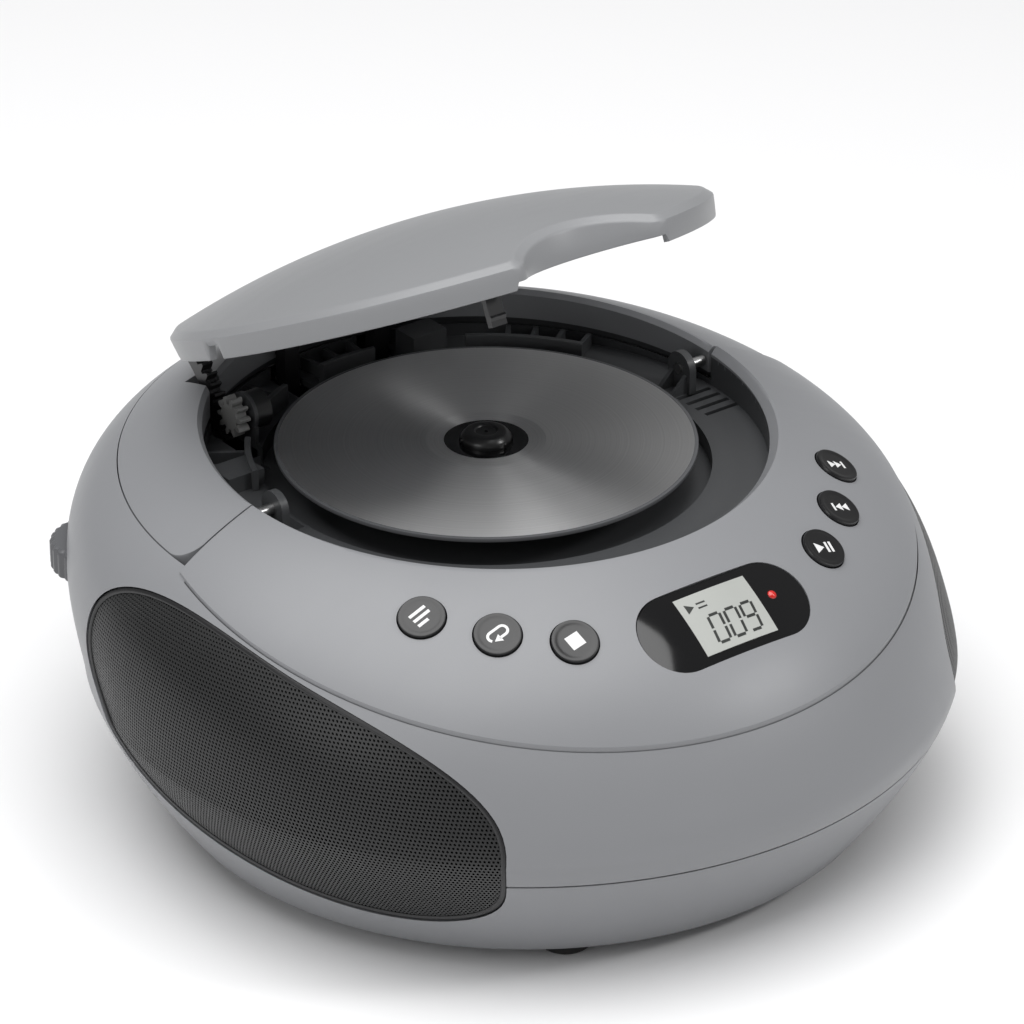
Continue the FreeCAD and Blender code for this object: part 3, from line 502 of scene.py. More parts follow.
def carve(piece, *cutters):
    """Take each cutter out of the piece, then drop the cutters."""
    for cutter in cutters:
        hollow = piece.modifiers.new("opening", "BOOLEAN")
        hollow.operation, hollow.solver, hollow.object = "DIFFERENCE", "EXACT", cutter
        bpy.context.view_layer.update()
        graph = bpy.context.evaluated_depsgraph_get()
        result = bpy.data.meshes.new_from_object(piece.evaluated_get(graph))
        piece.modifiers.clear()
        piece.data = result
    for cutter in cutters:
        bpy.data.objects.remove(cutter)
    soften(piece)
    return piece


def prism(outline, base, axis_x, axis_y, depth):
    """A cutter: a flat outline of (x, y) points pushed from one depth to another."""
    axis_x, axis_y = np.asarray(axis_x, float), np.asarray(axis_y, float)
    axis = np.cross(axis_x, axis_y)
    flat = np.array([np.asarray(base, float) + a * axis_x + b * axis_y for a, b in outline])
    points, faces = loft([flat + axis * depth[0], flat + axis * depth[1]])
    return make("cutter", points, faces, None, inner_paint, None)


def circle(radius, steps=48, middle=(0.0, 0.0)):
    turns = np.arange(steps) * 2 * math.pi / steps
    return np.stack([middle[0] + radius * np.cos(turns), middle[1] + radius * np.sin(turns)], -1)


def pill_outline(length, width, steps=24):
    """A round-ended bar seen from above."""
    reach = (length - width) / 2
    half = np.linspace(-math.pi / 2, math.pi / 2, steps)
    ends = [np.stack([side * (reach + width / 2 * np.cos(half)), side * width / 2 * np.sin(half)], -1)
            for side in (1, -1)]
    return np.concatenate(ends)


def surface_frame(x, y, inset=0.0):
    """Where the surface is over a point, with two directions along it and the one out of it."""
    out = shell_normal(x, y, inset)
    across = np.array([1.0, 0.0, 0.0]) - out * out[0]
    across /= np.linalg.norm(across)
    return np.array([x, y, float(shell_top(x, y, inset))]), across, np.cross(out, across), out


print("mesh tools ready")


# %% [markdown]
# ## The covers
# The front panel runs from the well to a second, larger circle and carries the bevel of the
# well's rim. Behind the joint the folded handle closes the same ring. The upper and lower
# case meet in a fine seam below the widest circle.

# %% Control panel
def straight(inner, outer, count):
    """Points between two points of the plan, denser near both ends."""
    share = (1 - np.cos(np.linspace(0, math.pi, count))) / 2
    return inner[None] + (outer - inner)[None] * share[:, None]


def cover_section(inner, outer, top_inset, low_inset, count=46):
    """A closed section between two plan points, from the bevelled top to the skin below."""
    upper = straight(inner, outer, count)
    lower = straight(outer, inner, 8)
    top = np.column_stack([upper, rim_top(upper[:, 0], upper[:, 1], top_inset)])
    under = np.column_stack([lower, shell_top(lower[:, 0], lower[:, 1], low_inset)])
    under[-1, 2] = min(under[-1, 2], top[0, 2] - 2.0)
    return rounded(np.concatenate([top, under]), {0: 0.4, count - 1: 0.7})


def arc_point(radius, middle_y, turn):
    return np.array([radius * math.sin(turn), middle_y - radius * math.cos(turn)])


inner_end = math.acos((DISC_Y - JOINT_Y) / WELL_RADIUS)
outer_end = math.acos((PANEL_Y - JOINT_Y) / PANEL_RADIUS)
shares = np.linspace(-1, 1, 193)
panel_sections = [
    cover_section(arc_point(WELL_RADIUS, DISC_Y, share * inner_end),
                  arc_point(PANEL_RADIUS, PANEL_Y, share * outer_end), -PANEL_PROUD, WALL)
    for share in shares
]
control_panel = make("panel_cover", *loft(panel_sections), "case", case_paint, "case_grey")
print("inner end", round(math.degrees(inner_end), 1), "outer end", round(math.degrees(outer_end), 1))

# %% Openings in the panel
KEY_HOLE, DISPLAY_Y, PILL = 6.85, -89.0, (56.0, 24.0)
KEYS = ["program", "repeat", "stop", "next", "back", "play_pause"]


def key_frame(name):
    """The rest place of a key's top, its own right and up directions, and its axis."""
    joint = next(item for item in frame["joints"] if item["name"] == f"{name}_press")
    out = -np.array(joint["axis"])
    low, high = (np.array(corner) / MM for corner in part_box(f"{name}_key"))
    middle = (low + high) / 2
    spot = middle[:2]
    for _ in range(20):
        top = float(shell_top(*spot, -PANEL_PROUD))
        spot = middle[:2] + out[:2] * (top - middle[2]) / out[2]
    place = np.array([*spot, float(shell_top(*spot, -PANEL_PROUD))])
    across = np.cross([0.0, 1.0, 0.0], out)
    across /= np.linalg.norm(across)
    return place, across, np.cross(out, across), out


key_places = {name: key_frame(name) for name in KEYS}
THROUGH = (-20, 20)
holes = [prism(circle(KEY_HOLE), *place[:3], THROUGH) for place in key_places.values()]
display_place = surface_frame(0.0, DISPLAY_Y, -PANEL_PROUD)
holes.append(prism(pill_outline(*PILL), *display_place[:3], THROUGH))
carve(control_panel, *holes)
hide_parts("control_panel")
print("panel faces", len(control_panel.data.polygons))

# %% Grille ovals
GRILLE_TURN, GRILLE_LEAN = math.radians(17.0), math.radians(12.3)
GRILLE_LONG, GRILLE_TALL, GRILLE_HEIGHT, GRILLE_SHIFT = 74.0, 30.8, 53.4, -5.2
OVAL_POWER, OVAL_STEPS = 2.5, 192
OVAL_START, CUT_START, FAR = 50.0, 20.0, 100.0


def grille_axes(side):
    """Middle, long axis, short axis and outward axis of one oval; side is -1 on the left."""
    out = np.array([math.cos(GRILLE_TURN) * side, -math.sin(GRILLE_TURN), 0.0])
    along = np.array([math.sin(GRILLE_TURN) * -side, -math.cos(GRILLE_TURN), 0.0])
    middle = out * OVAL_START + along * GRILLE_SHIFT + np.array([0.0, 0.0, GRILLE_HEIGHT])
    long_axis = along * math.cos(GRILLE_LEAN) - np.array([0.0, 0.0, math.sin(GRILLE_LEAN)])
    tall_axis = along * math.sin(GRILLE_LEAN) + np.array([0.0, 0.0, math.cos(GRILLE_LEAN)])
    return middle, long_axis, tall_axis, out


def onto_shell(start, direction, inset):
    """Follow a level direction from points inside until the skin at that depth is reached."""
    reach, middle_y = shell_radius(start[:, 2], inset), shell_centre(start[:, 2])

    def under(way):
        spot = start + direction * way[:, None]
        return np.hypot(spot[:, 0], spot[:, 1] - middle_y) < reach

    way = last_inside(under, np.zeros(len(start)), np.full(len(start), FAR))
    return start + direction * way[:, None]


def flat_oval(side, shrink=0.0):
    """The oval's edge in its own plane, drawn in by some millimetres; fuller than an ellipse."""
    middle, long_axis, tall_axis, _ = grille_axes(side)
    turns = np.linspace(0, 2 * math.pi, OVAL_STEPS, endpoint=False)
    wide = np.abs(np.cos(turns) / (GRILLE_LONG - shrink)) ** OVAL_POWER
    tall = np.abs(np.sin(turns) / (GRILLE_TALL - shrink)) ** OVAL_POWER
    size = (wide + tall) ** (-1 / OVAL_POWER)
    return middle + np.outer(size * np.cos(turns), long_axis) + np.outer(size * np.sin(turns), tall_axis)


def oval_points(side, shrink, inset):
    """The same edge laid on the skin at a depth."""
    return onto_shell(flat_oval(side, shrink), grille_axes(side)[3], inset)


def oval_cutter(side):
    out = grille_axes(side)[3]
    flat = flat_oval(side) + out * CUT_START
    return make("cutter", *loft([flat, flat + out * 0.9 * FAR]), None, inner_paint, None)


print("left oval axis", np.round(grille_axes(-1)[3], 3))


# %% Upper case
EDGE_LIMIT = 118.0


def edge_height(angle, inset):
    """Height where the skin at a plan angle meets the panel's or the handle's outer circle."""
    def outside(height):
        x, y, _ = np.moveaxis(shell_point(angle, height, inset), -1, 0)
        front = np.hypot(x, y - PANEL_Y) > PANEL_RADIUS + GAP
        rear = np.hypot(x, y - DISC_Y) > HANDLE_RADIUS + GAP
        return np.where(y < JOINT_Y - 1.0, front, rear)

    low = np.full(angle.shape, BELLY_HEIGHT)
    return last_inside(outside, low, np.full(angle.shape, EDGE_LIMIT))


case_angles = np.linspace(0, 2 * math.pi, 360, endpoint=False) + math.radians(0.31)
outer_tops, inner_tops = edge_height(case_angles, 0.0), edge_height(case_angles, WALL)
upper_sections = []
for angle, outer_top, inner_top in zip(case_angles, outer_tops, inner_tops):
    rise = np.sin(np.linspace(0, math.pi / 2, 40))
    outer = shell_point(angle, SEAM_HIGH + (outer_top - SEAM_HIGH) * rise)
    inner = shell_point(angle, SEAM_HIGH + (inner_top - SEAM_HIGH) * np.linspace(1, 0, 14), WALL)
    inner[0, :2] = outer[-1, :2]
    upper_sections.append(rounded(np.concatenate([outer, inner]), {0: 0.5, 39: 0.5}))
upper_case = make("upper_cover", *loft(upper_sections, closed=True), "case", case_paint, "case_grey")
print("rim of the upper case", np.round([outer_tops.min(), outer_tops.max()], 1), "mm")


# %% Openings in the upper case
def block(low, high):
    """A cutter between two corners."""
    (x0, y0, z0), (x1, y1, z1) = low, high
    outline = [(x0, y0), (x1, y0), (x1, y1), (x0, y1)]
    return prism(outline, (0, 0, 0), (1, 0, 0), (0, 1, 0), (z0, z1))


def node_spot(node):
    """Middle of a CAD node and its two corners, in millimetres."""
    low, high = (np.array(corner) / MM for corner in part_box(node))
    return (low + high) / 2, low, high


inlet_middle, _, _ = node_spot("power_inlet")
jack_middle, jack_low, jack_high = node_spot("rear_jacks")
JACK_HALF, JACK_HOLE, INLET_HALF = 4.5, 3.9, 6.5
WHEEL_PLACE, WHEEL_HOLE = (-90.0, 80.0), 16.0
BEHIND, INLET_SPAN, WHEEL_SPAN = (108, 148), (51.5, 60.5), (63.3, 73.7)
SWITCH_WAYS, SWITCH_SPAN = (-1.0, 17.0), (53, 59)
tools = [oval_cutter(-1), oval_cutter(1)]
for x in (jack_low[0] + JACK_HALF, jack_high[0] - JACK_HALF):
    tools.append(prism(circle(JACK_HOLE), (x, 100, jack_middle[2]), (1, 0, 0), (0, 0, -1), (0, 40)))
inlet_left, inlet_right = inlet_middle[0] - INLET_HALF, inlet_middle[0] + INLET_HALF
tools.append(block(*zip((inlet_left, inlet_right), BEHIND, INLET_SPAN)))
tools.append(block(*zip(SWITCH_WAYS, BEHIND, SWITCH_SPAN)))
tools.append(prism(circle(WHEEL_HOLE, 64, WHEEL_PLACE), (0, 0, 0), (1, 0, 0), (0, 1, 0), WHEEL_SPAN))
carve(upper_case, *tools)
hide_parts("upper_case")
print(len(tools), "openings cut in the upper case")

# %% Lower case
STEP_RADIUS = float(shell_radius(BASE_HEIGHT))
heights = BASE_HEIGHT + (SEAM_LOW - BASE_HEIGHT) * np.linspace(1, 0, 26)
outline = [(float(shell_radius(z)), z) for z in heights]
outline += [(STEP_RADIUS - 4.0, BASE_HEIGHT), (2.0, BASE_HEIGHT), (2.0, BASE_HEIGHT + WALL)]
outline += [(float(shell_radius(z, WALL)), z) for z in np.linspace(BASE_HEIGHT + WALL, SEAM_LOW, 14)]
outline = rounded(outline, {0: 0.5, 25: 1.5})
lower_case = make("lower_cover", *turned(outline, 300), "case", case_paint, "case_grey")
_, door_low, door_high = node_spot("battery_door")
DOOR_GAP = 0.4
bay = block((*(door_low - DOOR_GAP)[:2], 0), (*(door_high + DOOR_GAP)[:2], 12))
SCREW_HOLE, SCREW_DEPTH, SCREWS = 3.4, (0, 9), ((-66, -62), (66, -62), (-60, 76), (60, 76))
screws = [prism(circle(SCREW_HOLE), (x, y, 0), (1, 0, 0), (0, 1, 0), SCREW_DEPTH) for x, y in SCREWS]
carve(lower_case, oval_cutter(-1), oval_cutter(1), bay, *screws)
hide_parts("lower_case")
print("lower case stands on radius", round(STEP_RADIUS, 1), "mm at", BASE_HEIGHT, "mm")

# %% Carry handle
HANDLE_START, END_ROUND, END_SHARE = 16.8, 7.0, 0.09


def handle_pair(share):
    """Inner and outer plan points of the handle's section, share from -1 to 1."""
    reach, side = 1 - abs(share), 1.0 if share > 0 else -1.0
    if reach < END_SHARE:
        sweep = reach / END_SHARE * math.pi / 2
        y = HANDLE_START + END_ROUND * (1 - math.cos(sweep))
        corner_x = math.sqrt((HANDLE_RADIUS - END_ROUND) ** 2 - (HANDLE_START + END_ROUND - DISC_Y) ** 2)
        inner_x = math.sqrt(WELL_RADIUS ** 2 - (y - DISC_Y) ** 2)
        outer_x = corner_x + END_ROUND * math.sin(sweep)
        return np.array([side * inner_x, y]), np.array([side * outer_x, y])
    along = (reach - END_SHARE) / (1 - END_SHARE)
    pair = []
    for radius in (WELL_RADIUS, HANDLE_RADIUS):
        start = math.asin((HANDLE_START + END_ROUND - DISC_Y) / radius)
        turn = start + (math.pi / 2 - start) * along
        pair.append(np.array([side * radius * math.cos(turn), DISC_Y + radius * math.sin(turn)]))
    return tuple(pair)


handle_end = np.linspace(1 - END_SHARE, 1, 13)
handle_shares = np.concatenate([-handle_end[::-1], np.linspace(-0.9, 0.9, 145), handle_end])
handle_sections = [cover_section(*handle_pair(share), 0.0, HANDLE_DEPTH, 34) for share in handle_shares]
carry_handle = make("handle_ring", *loft(handle_sections), "case", case_paint, "case_grey")
RACK_SLOT = ((-53.6, 66, 60), (-46.4, 90, 130))
carve(carry_handle, block(*RACK_SLOT))
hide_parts("carry_handle")
print("handle faces", len(carry_handle.data.polygons))


# %% [markdown]
# ## The lid
# The lid is drawn lying flat about its own centre: a round plate with a bite for the finger,
# whose two horns are rounded. Loops inside that outline give the skirt, the bevel and the
# dome. The finished lid is then turned up to its open place, 24.9 degrees back.

# %% Lid outline
LID_RADIUS, BITE_RADIUS, BITE_REACH, HORN = 79.0, 28.0, 91.0, 5.0
LID_LOW, LID_BEVEL, DOME_RADIUS, DOME_TOP, LID_WALL = -7.0, 2.2, 245.9, 13.5, 2.2
LID_PLACE, LID_LEAN = np.array([0.0, 39.07, 148.58]), math.radians(-24.9)


def lid_loop():
    """Points round the lid with the outward direction at each."""
    near, far = LID_RADIUS - HORN, BITE_RADIUS + HORN
    horn_y = (far ** 2 - near ** 2 - BITE_REACH ** 2) / (2 * BITE_REACH)
    horn_x = math.sqrt(near ** 2 - horn_y ** 2)
    side = math.atan2(horn_y, horn_x)
    bite = math.atan2(horn_y + BITE_REACH, horn_x)
    arcs = [((0.0, 0.0), LID_RADIUS, side, math.pi - side, 420, 1),
            ((-horn_x, horn_y), HORN, math.pi - side, 2 * math.pi - bite, 24, 1),
            ((0.0, -BITE_REACH), BITE_RADIUS, math.pi - bite, bite, 90, -1),
            ((horn_x, horn_y), HORN, -math.pi + bite, side, 24, 1)]
    spots, outs = [], []
    for (x, y), radius, first, last, steps, sense in arcs:
        turns = np.linspace(first, last, steps, endpoint=False)
        ways = np.stack([np.cos(turns), np.sin(turns)], -1)
        spots.append(np.array([x, y]) + radius * ways)
        outs.append(sense * ways)
    return np.concatenate(spots), np.concatenate(outs)


def dome(reach, drop=0.0):
    return np.sqrt((DOME_RADIUS - drop) ** 2 - reach ** 2) - (DOME_RADIUS - DOME_TOP)


def in_lid(points):
    """Points of the flat lid, moved to the open place."""
    points = np.asarray(points, float)
    y = points[..., 1] * math.cos(LID_LEAN) - points[..., 2] * math.sin(LID_LEAN)
    z = points[..., 1] * math.sin(LID_LEAN) + points[..., 2] * math.cos(LID_LEAN)
    return np.stack([points[..., 0], y, z], -1) + LID_PLACE


lid_spots, lid_outs = lid_loop()
print("lid outline of", len(lid_spots), "points")


# %% Lid cover
def lid_low(spots):
    """Lower edge of the skirt: raised at the back, and notched beside the handle's pins."""
    y = spots[:, 1]
    low = np.interp(y, [30.0, 50.0], [LID_LOW, -1.5])
    return np.where(np.abs(y - 0.7) < 3.0, np.maximum(low, -3.0), low)


def level(inset, heights):
    spots = lid_spots - lid_outs * np.broadcast_to(inset, len(lid_spots))[:, None]
    return np.column_stack([spots, np.broadcast_to(heights, len(lid_spots))])


def dome_ring(spots, drop=0.0):
    return np.column_stack([spots, dome(np.hypot(*spots.T), drop)])


from_bite = np.hypot(lid_spots[:, 0], lid_spots[:, 1] + BITE_REACH) - BITE_RADIUS
in_bite = np.clip((3.0 - from_bite) / 3.0, 0, 1)
draft = 0.8 * (1 - in_bite)
bevel_loop = lid_spots - lid_outs * LID_BEVEL
bevel_top = dome(np.hypot(*bevel_loop.T))
low_edge = np.maximum(lid_low(lid_spots), LID_LOW + 2.2 * np.clip(in_bite * 3.0, 0, 1))
lid_wall = WALL - 0.8 * np.clip(in_bite * 3.0, 0, 1)
BEVEL_DROP = 2.1
rings = [level(lid_wall, low_edge)]
rings += [level(draft + inset, low_edge + rise) for inset, rise in ((0.5, 0.0), (0.12, 0.15), (0.0, 0.5))]
for share in (0.5, 0.93):
    rings.append(level(draft * (1 - share), low_edge + (bevel_top - BEVEL_DROP - low_edge) * share))
for share in (0.06, 0.2, 0.5, 0.8, 0.93):
    rings.append(level(share * LID_BEVEL, bevel_top - BEVEL_DROP * (1 - share)))
rings += [dome_ring(lid_spots - lid_outs * inset) for inset in (2.35, 2.8, 3.6)]
inner_loop = lid_spots - lid_outs * 3.6
rings += [dome_ring(inner_loop * share) for share in np.linspace(0.985, 0.02, 44)]
outer_count = len(rings)
hollow_loop = lid_spots - lid_outs * lid_wall[:, None]
rings += [dome_ring(hollow_loop * share, LID_WALL) for share in np.linspace(0.02, 1.0, 22)]

size = len(lid_spots)
lid_faces = [face for face in tube_faces(len(rings), size)
             if (min(face) // size, max(face) // size) != (outer_count - 1, outer_count)]
lid_faces.append(tuple(range((outer_count - 1) * size, outer_count * size)))
lid_faces.append(tuple(range(outer_count * size, (outer_count + 1) * size)))
lid_points = in_lid(np.concatenate(rings))
lid_cover = make("lid_shell", lid_points, lid_faces, "lid", lid_paint, "case_grey", 38.0)
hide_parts("lid_cover")
print("lid faces", len(lid_cover.data.polygons))


# %% [markdown]
# ## Speaker grilles
# Each grille is a sheet of fine round holes on a hexagonal lattice. The lattice is laid out
# by lengths measured along the curved side, so the pattern does not stretch. A thin rim holds
# the sheet and a black scrim hides the speaker.

# %% Perforated sheets
PITCH, HOLE, SHEET_INSET, SHEET_THICK, RIM_WIDTH = 1.2, 0.37, 1.0, 0.7, 0.9
HEX = 60 * np.arange(6)
drop_table = np.linspace(9.0, 95.0, 700)
steps = np.hypot(np.diff(drop_table), np.diff(shell_radius(drop_table)))
run_table = np.concatenate([[0.0], np.cumsum(steps)])
run_table -= np.interp(GRILLE_HEIGHT, drop_table, run_table)


def on_sheet(side, along, rise, inset):
    """A point of the flat lattice laid on the curved side: a run round it and a run up it."""
    height = np.interp(rise, run_table, drop_table)
    out = grille_axes(side)[3]
    turn = math.atan2(out[1], out[0]) + along / BELLY_RADIUS
    return shell_point(turn, height, inset)


def sheet_lattice(side):
    middle, long_axis, tall_axis, _ = grille_axes(side)
    rows, columns = np.arange(-48, 49), np.arange(-88, 89)
    column, row = np.meshgrid(columns, rows)
    along = (column + 0.5 * (row % 2)) * PITCH
    rise = row * PITCH * math.sqrt(3) / 2
    centres = on_sheet(side, along.ravel(), rise.ravel(), SHEET_INSET) - middle
    wide = np.abs(centres @ long_axis / (GRILLE_LONG - RIM_WIDTH)) ** OVAL_POWER
    tall = np.abs(centres @ tall_axis / (GRILLE_TALL - RIM_WIDTH)) ** OVAL_POWER
    return np.stack([along.ravel(), rise.ravel()], -1)[wide + tall < 1.0]


def perforated(side, name):
    cells = sheet_lattice(side)
    ways = np.stack([np.cos(np.radians(30 + HEX)), np.sin(np.radians(30 + HEX))], -1)
    corners = cells[:, None] + PITCH / math.sqrt(3) * ways
    keys = np.round(corners.reshape(-1, 2) / 0.05).astype(int)
    unique, number = np.unique(keys, axis=0, return_inverse=True)
    number = number.reshape(-1, 6)
    shared = np.zeros((len(unique), 2))
    shared[number.ravel()] = corners.reshape(-1, 2)
    holes = (cells[:, None] + HOLE * ways).reshape(-1, 2)
    flat = np.concatenate([shared, holes])
    front = on_sheet(side, flat[:, 0], flat[:, 1], SHEET_INSET)
    behind = on_sheet(side, holes[:, 0], holes[:, 1], SHEET_INSET + SHEET_THICK)
    first, second = len(shared), len(flat)
    faces = []
    for cell in range(len(cells)):
        ring, deep = (start + 6 * cell + np.arange(6) for start in (first, second))
        for k in range(6):
            after = (k + 1) % 6
            faces.append((number[cell, k], number[cell, after], ring[after], ring[k]))
            faces.append((ring[k], ring[after], deep[after], deep[k]))
    faces = [tuple(int(corner) for corner in face) for face in faces]
    spots = np.concatenate([front, behind])
    return make(name, spots, faces, "case", grille_paint, "grille", 40.0), len(cells)


def grille_rim(side, name):
    """The black rim between the case and the sheet."""
    inside = RIM_WIDTH + 0.9
    corners = [(0.3, 0.5), (0.3, 3.0), (inside, 3.0), (inside, 0.85), (1.0, 0.4)]
    profile = rounded(corners, {0: 0.2, 3: 0.2, 4: 0.3})
    loops = [oval_points(side, shrink, inset) for shrink, inset in profile]
    return make(name, *loft(np.array(loops), closed=True), "case", black_paint, "black_plastic", 40.0)


SCRIM_STEPS = (0.5, 5, 10, 15, 20, 25, 30.3)
for side, label in ((-1, "left"), (1, "right")):
    sheet, count = perforated(side, f"{label}_grille_sheet")
    rim = grille_rim(side, f"{label}_grille_rim")
    scrim_loops = [oval_points(side, shrink, 2.6) for shrink in SCRIM_STEPS]
    scrim_faces = tube_faces(len(SCRIM_STEPS), OVAL_STEPS, closed=False)
    last = (len(SCRIM_STEPS) - 1) * OVAL_STEPS
    scrim_faces.append(tuple(range(last, last + OVAL_STEPS)))
    spots = np.concatenate(scrim_loops)
    make(f"{label}_scrim", spots, scrim_faces, "case", cloth_paint, "black_plastic")
    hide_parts(f"{label}_grille")
    print(label, "grille:", count, "holes,", len(sheet.data.polygons), "faces")


# %% [markdown]
# ## Disc and drive
# The disc is a turned plate with a softened edge, a stacking ring and a clear inner zone. Its
# hub is a platter with a tapered nose and three sprung balls that hold the disc.

# %% Disc
DISC_BASE, DISC_THICK, DISC_EDGE, DISC_HOLE, CLEAR_ZONE = float(disc_low[2]), 1.2, 60.0, 7.5, 12.0
disc_top = DISC_BASE + DISC_THICK
face_top, ring_top = disc_top - 0.04, disc_top + 0.02
disc_outline = [(DISC_EDGE, DISC_BASE), (DISC_EDGE, disc_top), (58.9, disc_top), (58.7, face_top),
                (17.6, face_top), (17.3, ring_top), (16.7, ring_top), (16.4, face_top),
                (CLEAR_ZONE, face_top), (DISC_HOLE, face_top), (DISC_HOLE, DISC_BASE)]
disc_outline = rounded(disc_outline, {0: 0.25, 1: 0.25, 9: 0.2, 10: 0.2})
disc_mesh = turned(disc_outline, 256, (0.0, DISC_Y))
disc = make("disc", *disc_mesh, "disc_rotor", disc_paint, "disc_silver", 20.0)
disc.data.materials.append(window_paint)
disc.data.materials.append(ring_paint)
for face in disc.data.polygons:
    reach = math.hypot(face.center.x / MM, face.center.y / MM - DISC_Y)
    face.material_index = 1 if reach < CLEAR_ZONE - 0.1 else 2 if reach > 58.8 else 0
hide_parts("compact_disc")
print("disc radius", DISC_EDGE, "mm, clear zone", CLEAR_ZONE, "mm")


# %% Hub with its balls
BALL_RINGS, BALL_STEPS, BALL_REACH, BALL_HEIGHT, BALL_RADIUS = 11, 16, 7.0, 101.9, 0.7


def ball(middle, radius):
    """Points and faces of a ball."""
    turns = np.arange(BALL_STEPS) * 2 * math.pi / BALL_STEPS
    tilt, turn = np.meshgrid(np.linspace(0, math.pi, BALL_RINGS), turns, indexing="ij")
    ways = np.stack([np.sin(tilt) * np.cos(turn), np.sin(tilt) * np.sin(turn), np.cos(tilt)], -1)
    return np.asarray(middle) + radius * ways.reshape(-1, 3), tube_faces(BALL_RINGS, BALL_STEPS, False)


def joined(parts):
    """Several sets of points and faces as one."""
    spots, faces, count = [], [], 0
    for part_spots, part_faces in parts:
        spots.append(part_spots)
        faces += [tuple(corner + count for corner in face) for face in part_faces]
        count += len(part_spots)
    return np.concatenate(spots), faces


hub_outline = [(0.6, 97.6), (14.5, 97.6), (14.5, 99.95), (7.3, 99.95), (7.3, 102.4),
               (5.7, 104.2), (3.4, 104.2), (3.0, 103.7), (0.6, 103.7)]
hub_outline = rounded(hub_outline, {1: 0.4, 2: 0.4, 4: 0.6, 5: 0.6, 6: 0.2})
balls = []
for turn in np.radians([40, 160, 280]):
    x, y = BALL_REACH * math.cos(turn), DISC_Y + BALL_REACH * math.sin(turn)
    balls.append(ball((x, y, BALL_HEIGHT), BALL_RADIUS))
hub_mesh = joined([turned(hub_outline, 96, (0.0, DISC_Y))] + balls)
hub = make("hub", *hub_mesh, "disc_rotor", key_paint, "black_plastic")
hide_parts("spindle_hub")
print("hub with", len(balls), "balls")


# %% [markdown]
# ## Keys
# Six round keys stand a little above the panel, square to it. Each is dished, with a raised
# white sign: a list, a loop, a square, and the usual arrows and bars.

# %% Key caps and signs
def in_frame(spots, place):
    """Points given as right, up and out in a surface frame, as points of the case."""
    origin, across, over, out = place
    spots = np.asarray(spots, float)
    return origin + spots[..., :1] * across + spots[..., 1:2] * over + spots[..., 2:3] * out


def bar(x, y, width, height):
    return [(x - width / 2, y - height / 2), (x + width / 2, y - height / 2),
            (x + width / 2, y + height / 2), (x - width / 2, y + height / 2)]


ARROW_WIDTH = 0.58


def arrow(x, y, size, sense=1):
    base, tip, half_width = x - sense * size / 2, x + sense * size / 2, size * ARROW_WIDTH
    return [(base, y - half_width), (tip, y), (base, y + half_width)]


def stroke(path, width):
    """The outline of a line of even width along a path."""
    path = np.asarray(path, float)
    way = np.gradient(path, axis=0)
    way /= np.linalg.norm(way, axis=1)[:, None]
    side = np.stack([-way[:, 1], way[:, 0]], -1) * width / 2
    return np.concatenate([path + side, (path - side)[::-1]])


BEND, BEND_X = 1.15, 1.3
half = np.linspace(-math.pi / 2, math.pi / 2, 12)
loop_path = [(-0.4, -BEND)] + [(BEND_X + BEND * math.cos(a), BEND * math.sin(a)) for a in half]
loop_path += [(-BEND_X - BEND * math.cos(a), -BEND * math.sin(a)) for a in half[:9]]
SIGNS = {
    "program": [bar(0, 1.5, 4.4, 0.75), bar(0, 0, 4.4, 0.75), bar(-0.8, -1.5, 2.8, 0.75)],
    "repeat": [stroke(loop_path, 0.62), arrow(-0.9, -BEND, 1.7, -1)],
    "stop": [bar(0, 0, 3.4, 3.4)],
    "next": [arrow(-1.6, 0, 1.9), arrow(0.3, 0, 1.9), bar(1.75, 0, 0.6, 2.2)],
    "back": [arrow(1.6, 0, 1.9, -1), arrow(-0.3, 0, 1.9, -1), bar(-1.75, 0, 0.6, 2.2)],
    "play_pause": [arrow(-1.3, 0, 2.4), bar(0.75, 0, 0.65, 2.8), bar(1.95, 0, 0.65, 2.8)],
}
KEY_RADIUS, KEY_PROUD, KEY_HEIGHT, DISH = 6.5, 0.9, 6.0, 0.2
SIGN_SIZE = 1.25
key_foot, key_dish = KEY_PROUD - KEY_HEIGHT, KEY_PROUD - DISH
key_outline = [(0.01, key_foot), (KEY_RADIUS, key_foot), (KEY_RADIUS, KEY_PROUD), (5.6, KEY_PROUD),
               (4.7, key_dish), (0.01, key_dish)]
key_outline = rounded(key_outline, {2: 0.7, 3: 0.5, 4: 0.5}, 4)
for name in KEYS:
    place, button = key_places[name], f"{name}_button"
    spots, faces = turned(key_outline, 64)
    cap = make(f"{name}_cap", in_frame(spots, place), faces, button, key_paint, "black_plastic")
    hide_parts(f"{name}_key")
    parts = []
    for outline in SIGNS[name]:
        flat = np.asarray(outline) * SIGN_SIZE
        levels = [np.full(len(flat), key_dish + lift) for lift in (-0.1, 0.06)]
        parts.append(loft([np.column_stack([flat, height]) for height in levels]))
    spots, faces = joined(parts)
    make(f"{name}_sign", in_frame(spots, place), faces, button, white_ink, "light_plastic")
print(len(KEYS), "keys")


# %% [markdown]
# ## Screen
# A gloss black pill follows the panel. The pale screen lies in it with three dark
# seven-segment figures, and a red lamp shows at its right.

# %% Window, screen and figures
GLASS_INSET = -0.45
glass_place = surface_frame(0.0, DISPLAY_Y, GLASS_INSET)


